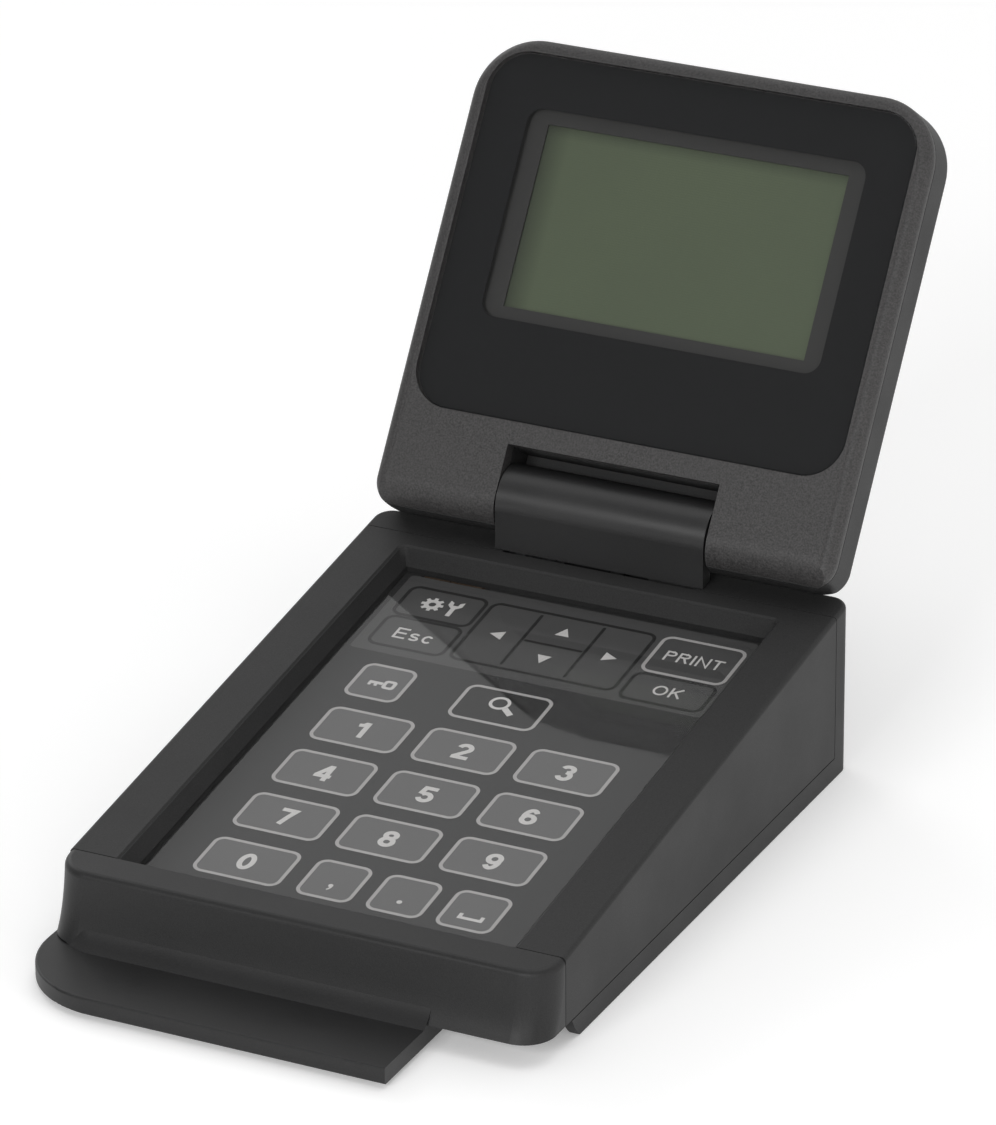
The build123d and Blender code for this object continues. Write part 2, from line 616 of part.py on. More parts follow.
with BuildPart() as hinge_knuckle_cover:
    # a barrel round the axis, with a skirt that drops to the housing under its front
    for inset, half, mode in (
        (0.0, KNUCKLE_HALF, Mode.ADD),
        (KNUCKLE_WALL, KNUCKLE_HALF - KNUCKLE_WALL, Mode.SUBTRACT),
    ):
        radius = KNUCKLE_R - inset
        with BuildSketch(across_axis(-half)):
            Circle(radius)
            with Locations((-radius, 0)):
                Rectangle(radius + KNUCKLE_REAR, 30, align=(Align.MIN, Align.MAX))
        extrude(amount=2 * half, mode=mode)
    # slots that let the end walls drop over the shaft and the bush
    for x, radius in ((-KNUCKLE_HALF, SHAFT_R + 0.5), (KNUCKLE_HALF - KNUCKLE_WALL, BUSH_R + 0.5)):
        with BuildSketch(across_axis(x)):
            Circle(radius)
            with Locations((0, -10)):
                Rectangle(2 * radius, 20)
        extrude(amount=KNUCKLE_WALL, mode=Mode.SUBTRACT)
    # it stands on the housing, just clear of the top face
    with BuildSketch(TOP_FACE.offset(SEAM)):
        with Locations((0, 120)):
            Rectangle(WIDTH, 60)
    extrude(amount=-40, mode=Mode.SUBTRACT)
write(hinge_knuckle_cover, "hinge_knuckle_cover")


def hinge_column(name, span, outer_r, bore_r):
    """Upright bracket: a foot on the bosses, a plate up the back wall and a ring at the axis."""
    start, end = span
    with BuildPart() as column:
        with BuildSketch(Plane.YZ.offset(start)):
            with BuildLine():
                Polyline(
                    (FOOT_FRONT_Y, FOOT_BOSS_TOP),
                    (COLUMN_BACK_Y, FOOT_BOSS_TOP),
                    (COLUMN_BACK_Y, HINGE_Z),
                    (COLUMN_FRONT_Y, HINGE_Z),
                    (COLUMN_FRONT_Y, FOOT_BOSS_TOP + FOOT_THICKNESS),
                    (FOOT_FRONT_Y, FOOT_BOSS_TOP + FOOT_THICKNESS),
                    close=True,
                )
            make_face()
        extrude(amount=end - start)
        with BuildSketch(across_axis(start)):
            Circle(outer_r)
        extrude(amount=end - start)
        with BuildSketch(across_axis(start)):
            Circle(bore_r)
        extrude(amount=end - start, mode=Mode.SUBTRACT)
        with BuildSketch(Plane.XY.offset(FOOT_BOSS_TOP)):
            with Locations(*[(x, FOOT_Y) for x in FOOT_SCREWS_X if start < x < end]):
                Circle(STEM_R)
        extrude(amount=FOOT_THICKNESS, mode=Mode.SUBTRACT)
    write(column, name)


hinge_column("hinge_bracket", SLEEVE, SLEEVE_R, SHAFT_R + RUNNING_CLEARANCE)
hinge_column("harness_side_bearing", BEARING, BEARING_R, BUSH_R + RUNNING_CLEARANCE)
screws(
    "hinge_bracket_screws",
    [Plane(origin=(x, FOOT_Y, FOOT_BOSS_TOP + FOOT_THICKNESS), z_dir=up) for x in FOOT_SCREWS_X],
    head_r=2.1, head_h=1.4, stem_r=STEM_R, stem_length=6.5,
)

# ---------------------------------------------------------------- display harness, base side
HARNESS_MEETING_X = 20.0
HARNESS_GAP = 0.3
HARNESS_RISE_Y = HINGE_Y - 4.0

with BuildPart() as display_harness_base:
    with BuildLine():
        FilletPolyline(
            (HARNESS_X, HARNESS_SOCKET_Y, BOARD_TOP + HARNESS_SOCKET[2]),
            (HARNESS_X, HARNESS_SOCKET_Y, 20.0),
            (HARNESS_X, HARNESS_RISE_Y, 22.0),
            (HARNESS_X, HARNESS_RISE_Y, HINGE_Z - 4.5),
            (HARNESS_X, HINGE_Y, HINGE_Z),
            (HARNESS_MEETING_X, HINGE_Y, HINGE_Z),
            radius=[3.0, 3.5, 2.5, 2.6],
        )
    with BuildSketch(Plane.XY.offset(BOARD_TOP + HARNESS_SOCKET[2])):
        with Locations((HARNESS_X, HARNESS_SOCKET_Y)):
            Circle(HARNESS_R)
    sweep()
write(display_harness_base, "display_harness_base")

# ---------------------------------------------------------------- display, outer shape
# Heights on the display run up its face from the hinge axis; levels run out of its front.
LID_TOP_CORNER_R = 14.0
LID_BOTTOM_CORNER_R = 6.0
LID_BARREL_R = 6.7
LID_MIDDLE = (LID_TOP + LID_BOTTOM) / 2
LID_HEIGHT = LID_TOP - LID_BOTTOM
NOTCH_WALL = 2.0
BAND_DROP = 0.4
BAND_WIDTH = 2.7
BAND_R = 2.4
BAND_STEP_LEAN = 40.0
LEDGE_LEVEL = LID_FRONT - WINDOW_SUNK - WINDOW_THICKNESS - MASK_GAP - MASK_THICKNESS
LEDGE_SIZE = (83.6, 50.5)
FRAME_SPLIT = LID_SEAM + SEAM / 2
COVER_SPLIT = LID_SEAM - SEAM / 2
LID_SCREWS = [(sx * 46.0, h) for sx in (-1, 1) for h in (18.0, 84.5)]
LID_BOSS_R = 2.8
LID_POST_R = 2.4
LID_STEM_R = 0.95
LID_BOSS_LEVEL = -2.6
DISPLAY_BOARD_SCREWS = [(sx * 38.0, h) for sx in (-1, 1) for h in (21.0, 90.5)]
DISPLAY_BOARD_FRONT = -1.6
LEAF_LEVEL = 3.4
LEAF_SCREWS = [(-30.5, 9.0), (-36.5, 15.5)]


def lid_solid(shrink):
    """The display's outer shape, every face moved in by `shrink`."""
    with BuildPart() as solid:
        with BuildSketch(LID_FACE.offset(LID_REAR + shrink)) as outline:
            with Locations((0, LID_MIDDLE)):
                Rectangle(LID_WIDTH - 2 * shrink, LID_HEIGHT - 2 * shrink)
            corners = outline.vertices().group_by(Axis.Y)
            fillet(corners[-1], LID_TOP_CORNER_R - shrink)
            fillet(outline.vertices().group_by(Axis.Y)[0], LID_BOTTOM_CORNER_R - shrink)
        band = 0 if shrink else BAND_DROP
        extrude(amount=LID_FRONT - LID_REAR - 2 * shrink - band)
        if not shrink:
            outwards = Axis(LID_FACE.origin, LID_FACE.z_dir)
            fillet(solid.faces().sort_by(outwards)[0].edges(), 3.0)
            fillet(solid.faces().sort_by(outwards)[-1].edges(), BAND_R)
            # the front face stands a little proud of a rounded band along the edges
            with BuildSketch(LID_FACE.offset(LID_FRONT - BAND_DROP)) as face_outline:
                with Locations((0, LID_MIDDLE - BAND_WIDTH)):
                    Rectangle(LID_WIDTH - 2 * BAND_WIDTH, LID_HEIGHT)
                fillet(face_outline.vertices().group_by(Axis.Y)[-1], LID_TOP_CORNER_R - BAND_WIDTH)
            extrude(amount=BAND_DROP, taper=BAND_STEP_LEAN)
        # the bottom rolls round the hinge axis
        with BuildSketch(LID_SIDE.offset(-LID_WIDTH / 2)) as roll:
            with Locations((LID_MIDDLE, (LID_FRONT + LID_REAR) / 2)):
                Rectangle(LID_HEIGHT - 2 * shrink, LID_FRONT - LID_REAR - 2 * shrink)
            fillet(roll.vertices().group_by(Axis.X)[0], LID_BARREL_R - shrink)
        extrude(amount=LID_WIDTH, mode=Mode.INTERSECT)
    return solid.part


lid_outer = lid_solid(0)
lid_inner = lid_solid(LID_WALL)

with BuildPart() as notch_block:
    for level, top in ((LID_REAR + LID_WALL, NOTCH_TOP), (LID_REAR - 1, NOTCH_REAR_TOP)):
        with BuildSketch(LID_FACE.offset(level)):
            with Locations((0, top - 20)):
                Rectangle(2 * NOTCH_HALF, 40)
        extrude(amount=20)

with BuildPart() as notch_lining:
    with BuildSketch(LID_FACE.offset(LID_REAR - 5)):
        with Locations((0, NOTCH_TOP + NOTCH_WALL - 20)):
            Rectangle(2 * (NOTCH_HALF + NOTCH_WALL), 40)
    extrude(amount=30)

lid_cavity = lid_inner - notch_lining.part

# ---------------------------------------------------------------- display, front frame
with BuildPart() as lid_front_frame:
    add(lid_outer)
    add(lid_cavity, mode=Mode.SUBTRACT)
    add(notch_block.part, mode=Mode.SUBTRACT)
    split(bisect_by=lid_level(FRAME_SPLIT), keep=Keep.TOP)
    # ledge that the window and the screen sit against
    with BuildSketch(LID_FACE.offset(FRAME_SPLIT)):
        with Locations((0, 53.8)):
            RectangleRounded(LID_WIDTH - 2 * LID_WALL + 0.4, 81.0, LID_TOP_CORNER_R - LID_WALL)
    extrude(amount=LID_FRONT - 1.5 - FRAME_SPLIT)
    # bosses for the rear cover's screws, the display board and the hinge leaf
    for places, radius, level in (
        (LID_SCREWS, LID_BOSS_R, LID_BOSS_LEVEL),
        (DISPLAY_BOARD_SCREWS, LID_POST_R, DISPLAY_BOARD_FRONT),
        (LEAF_SCREWS, LID_POST_R, LEAF_LEVEL),
    ):
        with BuildSketch(LID_FACE.offset(level)):
            with Locations(*places):
                Circle(radius)
        extrude(amount=LID_FRONT - 1.0 - level)
    with BuildSketch(LID_FACE.offset(LEDGE_LEVEL)):
        with Locations((0, WINDOW_MIDDLE)):
            RectangleRounded(WINDOW_SIZE[0] + 0.3, WINDOW_SIZE[1] + 0.3, WINDOW_CORNER_R + 0.15)
    extrude(amount=5, mode=Mode.SUBTRACT)
    with BuildSketch(LID_FACE.offset(FRAME_SPLIT)):
        with Locations((0, SCREEN_MIDDLE)):
            RectangleRounded(*LEDGE_SIZE, 2)
    extrude(amount=5, mode=Mode.SUBTRACT)
    for places, level in (
        (LID_SCREWS, LID_BOSS_LEVEL),
        (DISPLAY_BOARD_SCREWS, DISPLAY_BOARD_FRONT),
        (LEAF_SCREWS, LEAF_LEVEL),
    ):
        with BuildSketch(LID_FACE.offset(level)):
            with Locations(*places):
                Circle(LID_STEM_R)
        extrude(amount=LEDGE_LEVEL - 0.6 - level, mode=Mode.SUBTRACT)
write(lid_front_frame, "lid_front_frame")

# ---------------------------------------------------------------- display, rear cover
REAR_BORE_R = 2.55
REAR_BORE_DEPTH = 2.4

with BuildPart() as lid_rear_cover:
    add(lid_outer)
    add(lid_cavity, mode=Mode.SUBTRACT)
    add(notch_block.part, mode=Mode.SUBTRACT)
    split(bisect_by=lid_level(COVER_SPLIT), keep=Keep.BOTTOM)
    with BuildSketch(LID_FACE.offset(LID_REAR + 1)):
        with Locations(*LID_SCREWS):
            Circle(LID_BOSS_R)
    extrude(amount=LID_BOSS_LEVEL - SEAM / 2 - LID_REAR - 1)
    with BuildSketch(LID_FACE.offset(LID_REAR - 1)):
        with Locations(*LID_SCREWS):
            Circle(REAR_BORE_R)
    extrude(amount=REAR_BORE_DEPTH + 1, mode=Mode.SUBTRACT)
    with BuildSketch(LID_FACE.offset(LID_REAR)):
        with Locations(*LID_SCREWS):
            Circle(LID_STEM_R + 0.3)
    extrude(amount=6, mode=Mode.SUBTRACT)
    # the shaft passes the notch's left wall and the bush its right wall
    for x, radius in ((-NOTCH_HALF - NOTCH_WALL, SHAFT_R), (NOTCH_HALF, BUSH_R)):
        with BuildSketch(across_axis(x)):
            Circle(radius + RUNNING_CLEARANCE)
        extrude(amount=NOTCH_WALL, mode=Mode.SUBTRACT)
write(lid_rear_cover, "lid_rear_cover")

# ---------------------------------------------------------------- window and screen
with BuildPart() as window_mask:
    with BuildSketch(LID_FACE.offset(LEDGE_LEVEL)):
        with Locations((0, WINDOW_MIDDLE)):
            RectangleRounded(*WINDOW_SIZE, WINDOW_CORNER_R)
        with Locations((0, SCREEN_MIDDLE)):
            RectangleRounded(*MASK_OPENING, MASK_OPENING_R, mode=Mode.SUBTRACT)
    extrude(amount=MASK_THICKNESS)
write(window_mask, "window_mask")

with BuildPart() as display_window:
    with BuildSketch(LID_FACE.offset(LEDGE_LEVEL + MASK_THICKNESS + MASK_GAP)):
        with Locations((0, WINDOW_MIDDLE)):
            RectangleRounded(*WINDOW_SIZE, WINDOW_CORNER_R)
    extrude(amount=WINDOW_THICKNESS)
    lens_front = display_window.faces().sort_by(Axis(LID_FACE.origin, LID_FACE.z_dir))[-1]
    chamfer(lens_front.edges(), 0.2)
write(display_window, "display_window")

SCREEN_FRAME_SIZE = (85.6, 62.0)
SCREEN_FRAME_MIDDLE = 56.0
SCREEN_FRAME_LEVEL = FRAME_SPLIT - 0.02
SCREEN_GLASS_SIZE = (78.0, 50.0)
SCREEN_GLASS_LEVEL = 3.1
SCREEN_GLASS_THICKNESS = 2.0

with BuildPart() as screen_frame:
    with BuildSketch(LID_FACE.offset(DISPLAY_BOARD_FRONT)):
        with Locations((0, SCREEN_FRAME_MIDDLE)):
            RectangleRounded(*SCREEN_FRAME_SIZE, 1.0)
    extrude(amount=SCREEN_FRAME_LEVEL - DISPLAY_BOARD_FRONT)
    with BuildSketch(LID_FACE.offset(DISPLAY_BOARD_FRONT)):
        with Locations((0, SCREEN_MIDDLE)):
            Rectangle(*SCREEN_GLASS_SIZE)
    extrude(amount=SCREEN_GLASS_LEVEL - DISPLAY_BOARD_FRONT, mode=Mode.SUBTRACT)
    with BuildSketch(LID_FACE.offset(DISPLAY_BOARD_FRONT)):
        with Locations((0, SCREEN_MIDDLE)):
            Rectangle(*SCREEN_SIZE)
    extrude(amount=10, mode=Mode.SUBTRACT)
write(screen_frame, "screen_frame")

with BuildPart() as screen_glass:
    with BuildSketch(LID_FACE.offset(SCREEN_GLASS_LEVEL - SCREEN_GLASS_THICKNESS)):
        with Locations((0, SCREEN_MIDDLE)):
            Rectangle(*SCREEN_GLASS_SIZE)
    extrude(amount=SCREEN_GLASS_THICKNESS)
write(screen_glass, "screen_glass")

with BuildPart() as backlight:
    with BuildSketch(LID_FACE.offset(DISPLAY_BOARD_FRONT)):
        with Locations((0, SCREEN_MIDDLE)):
            Rectangle(*SCREEN_GLASS_SIZE)
    extrude(amount=SCREEN_GLASS_LEVEL - SCREEN_GLASS_THICKNESS - DISPLAY_BOARD_FRONT)
write(backlight, "backlight")

DISPLAY_BOARD_SIZE = (84.0, 76.5)
DISPLAY_BOARD_MIDDLE = 55.25
with BuildPart() as display_board:
    with BuildSketch(LID_FACE.offset(DISPLAY_BOARD_FRONT - BOARD_THICKNESS)):
        with Locations((0, DISPLAY_BOARD_MIDDLE)):
            RectangleRounded(*DISPLAY_BOARD_SIZE, 1.5)
        with Locations(*DISPLAY_BOARD_SCREWS):
            Circle(LID_STEM_R, mode=Mode.SUBTRACT)
    extrude(amount=BOARD_THICKNESS)
write(display_board, "display_board")

DISPLAY_CHIPS = [(-20.0, 60.0, 10.0, 7.0), (8.0, 66.0, 7.0, 7.0), (22.0, 44.0, 4.0, 5.0)]
with BuildPart() as display_chips:
    for x, height, width, length in DISPLAY_CHIPS:
        with BuildSketch(LID_FACE.offset(DISPLAY_BOARD_FRONT - BOARD_THICKNESS)):
            with Locations((x, height)):
                Rectangle(width, length)
        extrude(amount=-1.0)
write(display_chips, "display_chips")

DISPLAY_SOCKET_X = 33.0
DISPLAY_SOCKET_BOTTOM = 17.5
with BuildPart() as display_socket:
    with BuildSketch(LID_FACE.offset(DISPLAY_BOARD_FRONT)):
        with Locations((DISPLAY_SOCKET_X, DISPLAY_SOCKET_BOTTOM + 2.0)):
            Rectangle(5.0, 4.0)
    extrude(amount=4.2)
write(display_socket, "display_socket")

lid_front_dir = LID_FACE.z_dir
screws(
    "display_board_screws",
    [
        Plane(
            origin=LID_FACE.from_local_coords((x, h, DISPLAY_BOARD_FRONT - BOARD_THICKNESS)),
            x_dir=(1, 0, 0), z_dir=-lid_front_dir,
        )
        for x, h in DISPLAY_BOARD_SCREWS
    ],
    head_r=1.8, head_h=1.1, stem_r=LID_STEM_R, stem_length=5.0,
)
screws(
    "lid_screws",
    [
        Plane(
            origin=LID_FACE.from_local_coords((x, h, LID_REAR + REAR_BORE_DEPTH)),
            x_dir=(1, 0, 0), z_dir=-lid_front_dir,
        )
        for x, h in LID_SCREWS
    ],
    head_r=2.1, head_h=1.4, stem_r=LID_STEM_R, stem_length=8.0,
)

# ---------------------------------------------------------------- hinge, display side
LEAF_THICKNESS = 1.6
LEAF_HEIGHT = 18.6
LEAF_RING = (-40.0, -27.2)
LEAF_RING_R = 4.0

with BuildPart() as hinge_leaf:
    with BuildSketch(LID_FACE.offset(LEAF_LEVEL - LEAF_THICKNESS)):
        with Locations(((LEAF_RING[0] + LEAF_RING[1]) / 2, LEAF_HEIGHT / 2)):
            Rectangle(LEAF_RING[1] - LEAF_RING[0], LEAF_HEIGHT)
    extrude(amount=LEAF_THICKNESS)
    with BuildSketch(across_axis(LEAF_RING[0])):
        Circle(LEAF_RING_R)
    extrude(amount=LEAF_RING[1] - LEAF_RING[0])
    with BuildSketch(across_axis(LEAF_RING[0])):
        Circle(SHAFT_R)
    extrude(amount=LEAF_RING[1] - LEAF_RING[0], mode=Mode.SUBTRACT)
    with BuildSketch(LID_FACE.offset(LEAF_LEVEL - LEAF_THICKNESS)):
        with Locations(*LEAF_SCREWS):
            Circle(LID_STEM_R)
    extrude(amount=LEAF_THICKNESS, mode=Mode.SUBTRACT)
write(hinge_leaf, "hinge_leaf")
screws(
    "hinge_leaf_screws",
    [
        Plane(
            origin=LID_FACE.from_local_coords((x, h, LEAF_LEVEL - LEAF_THICKNESS)),
            x_dir=(1, 0, 0), z_dir=-lid_front_dir,
        )
        for x, h in LEAF_SCREWS
    ],
    head_r=1.8, head_h=1.1, stem_r=LID_STEM_R, stem_length=2.5,
)

DISC_COUNT = 4
DISC_R = 3.9
DISC_THICKNESS = 0.4
DISC_PITCH = 0.45
NUT_THICKNESS = 2.4
discs_start = SLEEVE[1] + 0.1
nut_start = discs_start + DISC_COUNT * DISC_PITCH
SHAFT = (LEAF_RING[0], nut_start + NUT_THICKNESS + 0.8)

with BuildPart() as hinge_shaft:
    with BuildSketch(across_axis(SHAFT[0])):
        Circle(SHAFT_R)
    extrude(amount=SHAFT[1] - SHAFT[0])
    chamfer(hinge_shaft.edges().filter_by(GeomType.CIRCLE), 0.4)
write(hinge_shaft, "hinge_shaft")

with BuildPart() as friction_discs:
    for index in range(DISC_COUNT):
        with BuildSketch(across_axis(discs_start + index * DISC_PITCH)):
            Circle(DISC_R)
            Circle(SHAFT_R, mode=Mode.SUBTRACT)
        extrude(amount=DISC_THICKNESS)
write(friction_discs, "friction_discs")

with BuildPart() as shaft_nut:
    with BuildSketch(across_axis(nut_start)):
        RegularPolygon(radius=DISC_R, side_count=6)
        Circle(SHAFT_R, mode=Mode.SUBTRACT)
    extrude(amount=NUT_THICKNESS)
write(shaft_nut, "shaft_nut")

BUSH = (10.5, 30.0)
BUSH_BORE_R = 2.3
COLLAR_SIZE = 7.0
COLLAR_THICKNESS = 2.6
with BuildPart() as harness_side_bush:
    with BuildSketch(across_axis(BUSH[0])):
        Circle(BUSH_R)
    extrude(amount=BUSH[1] - BUSH[0])
    # a square collar keys it to the display
    with BuildSketch(LID_SIDE.offset(NOTCH_HALF + NOTCH_WALL)):
        RectangleRounded(COLLAR_SIZE, COLLAR_SIZE, 1.0)
    extrude(amount=COLLAR_THICKNESS)
    with BuildSketch(across_axis(BUSH[0])):
        Circle(BUSH_BORE_R)
    extrude(amount=BUSH[1] - BUSH[0], mode=Mode.SUBTRACT)
write(harness_side_bush, "harness_side_bush")

# ---------------------------------------------------------------- display harness, display side
with BuildPart() as display_harness_lid:
    with BuildLine():
        FilletPolyline(
            LID_FACE.from_local_coords((HARNESS_MEETING_X + HARNESS_GAP, 0, 0)),
            LID_FACE.from_local_coords((DISPLAY_SOCKET_X, 0, 0)),
            LID_FACE.from_local_coords((DISPLAY_SOCKET_X, DISPLAY_SOCKET_BOTTOM, 0)),
            radius=2.6,
        )
    with BuildSketch(across_axis(HARNESS_MEETING_X + HARNESS_GAP)):
        Circle(HARNESS_R)
    sweep()
write(display_harness_lid, "display_harness_lid")
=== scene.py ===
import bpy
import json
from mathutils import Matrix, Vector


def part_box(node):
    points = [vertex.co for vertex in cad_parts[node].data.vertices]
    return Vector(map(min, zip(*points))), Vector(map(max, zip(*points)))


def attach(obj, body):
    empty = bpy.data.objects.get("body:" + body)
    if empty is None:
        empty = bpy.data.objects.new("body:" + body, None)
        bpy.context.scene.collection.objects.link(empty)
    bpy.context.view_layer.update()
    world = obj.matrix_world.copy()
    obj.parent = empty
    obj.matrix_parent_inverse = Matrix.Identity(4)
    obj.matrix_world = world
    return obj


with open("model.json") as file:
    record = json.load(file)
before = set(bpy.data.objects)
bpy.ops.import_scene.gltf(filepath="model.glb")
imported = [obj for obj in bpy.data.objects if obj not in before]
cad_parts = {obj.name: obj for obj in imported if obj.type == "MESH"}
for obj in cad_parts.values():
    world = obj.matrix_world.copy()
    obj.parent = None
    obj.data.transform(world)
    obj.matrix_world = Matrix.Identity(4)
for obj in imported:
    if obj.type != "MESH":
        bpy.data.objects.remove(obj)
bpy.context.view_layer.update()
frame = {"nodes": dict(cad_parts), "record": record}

import json
import math

import bmesh
import bpy
from mathutils import Matrix, Vector

MM = 0.001
nodes = frame["nodes"]
scene = bpy.context.scene

# ------------------------------------------------------------------ camera
# The viewpoint that shows the object as photographed: a long lens, above and to the right.
VIEW_TARGET = Vector((5.63, -1.0, 63.77)) * MM
VIEW_AZIMUTH = math.radians(26.23)
VIEW_ELEVATION = math.radians(24.69)
VIEW_ROLL = math.radians(-0.37)
VIEW_DISTANCE = 1403.5 * MM
SENSOR = 36.0
LENS = 226.2

back = Vector((
    math.sin(VIEW_AZIMUTH) * math.cos(VIEW_ELEVATION),
    -math.cos(VIEW_AZIMUTH) * math.cos(VIEW_ELEVATION),
    math.sin(VIEW_ELEVATION),
))
level_right = Vector((math.cos(VIEW_AZIMUTH), math.sin(VIEW_AZIMUTH), 0.0))
level_up = back.cross(level_right)
cam_right = level_right * math.cos(VIEW_ROLL) + level_up * math.sin(VIEW_ROLL)
cam_up = level_up * math.cos(VIEW_ROLL) - level_right * math.sin(VIEW_ROLL)

camera_data = bpy.data.cameras.new("camera")
camera_data.sensor_width = SENSOR
camera_data.lens = LENS
camera_data.clip_start = 0.05
camera_data.clip_end = 50.0
camera = bpy.data.objects.new("camera", camera_data)
camera.matrix_world = Matrix.Translation(VIEW_TARGET + back * VIEW_DISTANCE) @ Matrix(
    (cam_right, cam_up, back)
).transposed().to_4x4()
scene.collection.objects.link(camera)
scene.camera = camera


# ------------------------------------------------------------------ material helpers
class Tree:
    """Short names for building one material's nodes."""

    def __init__(self, name):
        self.material = bpy.data.materials.new(name)
        self.material.use_nodes = True
        self.nodes = self.material.node_tree.nodes
        self.links = self.material.node_tree.links
        self.shader = self.nodes["Principled BSDF"]
        self.place = self.add("ShaderNodeTexCoord").outputs["Object"]

    def add(self, kind, **settings):
        node = self.nodes.new(kind)
        for key, value in settings.items():
            setattr(node, key, value)
        return node

    def join(self, source, target):
        self.links.new(source, target)

    def stretched(self, scale):
        """The place in the object, stretched by a factor along each axis."""
        mapping = self.add("ShaderNodeMapping")
        mapping.inputs["Scale"].default_value = scale
        self.join(self.place, mapping.inputs["Vector"])
        return mapping.outputs["Vector"]

    def along(self, direction):
        """Distance along a direction from the object's origin, in metres."""
        node = self.add("ShaderNodeVectorMath", operation="DOT_PRODUCT")
        self.join(self.place, node.inputs[0])
        node.inputs[1].default_value = direction
        return node.outputs["Value"]

    def noise(self, per_metre, detail=2.0, vector=None):
        node = self.add("ShaderNodeTexNoise")
        node.inputs["Scale"].default_value = per_metre
        node.inputs["Detail"].default_value = detail
        self.join(vector or self.place, node.inputs["Vector"])
        return node.outputs["Fac"]

    def spread(self, value, low, high, start=0.3, end=0.7):
        """value, taken from start..end to low..high."""
        node = self.add("ShaderNodeMapRange")
        node.inputs["From Min"].default_value = start
        node.inputs["From Max"].default_value = end
        node.inputs["To Min"].default_value = low
        node.inputs["To Max"].default_value = high
        self.join(value, node.inputs["Value"])
        return node.outputs["Result"]

    def mix(self, factor, dark, light):
        node = self.add("ShaderNodeMix", data_type="RGBA")
        for socket, colour in (("A", dark), ("B", light)):
            target = [s for s in node.inputs if s.name == socket and s.type == "RGBA"][0]
            if isinstance(colour, tuple):
                target.default_value = (*colour, 1.0)
            else:
                self.join(colour, target)
        self.join(factor, node.inputs["Factor"])
        return [s for s in node.outputs if s.type == "RGBA"][0]

    def bump(self, height, distance, strength=1.0):
        node = self.add("ShaderNodeBump")
        node.inputs["Distance"].default_value = distance
        node.inputs["Strength"].default_value = strength
        self.join(height, node.inputs["Height"])
        self.join(node.outputs["Normal"], self.shader.inputs["Normal"])

    def colour(self, source):
        self.join(source, self.shader.inputs["Base Color"])

    def roughness(self, source):
        self.join(source, self.shader.inputs["Roughness"])

    def fixed(self, **values):
        for name, value in values.items():
            self.shader.inputs[name.replace("_", " ")].default_value = value


def scaled(colour, factor):
    return tuple(channel * factor for channel in colour)


def moulded_plastic(name, colour, roughness, grain, grain_depth, fleck=0.25, gloss=0.5):
    """Spark-textured moulding: a fine bump, flecks of lighter grain and broad uneven sheen."""
    tree = Tree(name)
    fine = tree.noise(grain, detail=1.5)
    broad = tree.noise(60.0, detail=3.0)
    flecks = tree.spread(fine, 0.0, 1.0)
    shade = tree.mix(flecks, scaled(colour, 1 - fleck), scaled(colour, 1 + fleck))
    worn = tree.mix(tree.spread(broad, 0.0, 0.35), shade, scaled(colour, 1.25))
    tree.colour(worn)
    tree.roughness(tree.spread(broad, roughness - 0.04, roughness + 0.05))
    tree.bump(fine, grain_depth)
    tree.fixed(Specular_IOR_Level=gloss)
    return tree.material


def metal(name, colour, roughness, brushed=(1.0, 1.0, 1.0)):
    """Plated or turned metal, with fine lines along the unstretched axes."""
    tree = Tree(name)
    lines = tree.noise(1200.0, detail=2.0, vector=tree.stretched(brushed))
    tree.colour(tree.mix(tree.spread(lines, 0.0, 1.0), scaled(colour, 0.82), colour))
    tree.roughness(tree.spread(lines, roughness - 0.07, roughness + 0.1))
    tree.bump(lines, 0.00001, 0.5)
    tree.fixed(Metallic=1.0)
    return tree.material


TRACKS_PER_METRE = 260.0


def circuit_board(name):
    """Green soldermask over a pattern of tracks."""
    tree = Tree(name)
    tracks = tree.add("ShaderNodeTexBrick")
    tracks.inputs["Scale"].default_value = TRACKS_PER_METRE
    tracks.inputs["Mortar Size"].default_value = 0.03
    tracks.inputs["Color1"].default_value = (0.012, 0.085, 0.035, 1)
    tracks.inputs["Color2"].default_value = (0.016, 0.1, 0.04, 1)
    tracks.inputs["Mortar"].default_value = (0.03, 0.19, 0.08, 1)
    tree.join(tree.place, tracks.inputs["Vector"])
    haze = tree.noise(900.0)
    tree.colour(tree.mix(tree.spread(haze, 0.0, 0.4), tracks.outputs["Color"], (0.014, 0.07, 0.03)))
    tree.roughness(tree.spread(haze, 0.28, 0.42))
    tree.bump(tracks.outputs["Fac"], 0.00003, 0.6)
    return tree.material


def plain_resin(name, colour, roughness, grain=900.0):
    """Small moulded parts inside: slight mottling and a soft bump."""
    tree = Tree(name)
    mottle = tree.noise(grain, detail=3.0)
    tree.colour(tree.mix(tree.spread(mottle, 0.0, 1.0), scaled(colour, 0.85), scaled(colour, 1.1)))
    tree.roughness(tree.spread(mottle, roughness - 0.05, roughness + 0.07))
    tree.bump(mottle, 0.00002, 0.6)
    return tree.material


PANE_INDEX = 1.5
PANE_TINT = (0.97, 0.97, 0.97, 1)


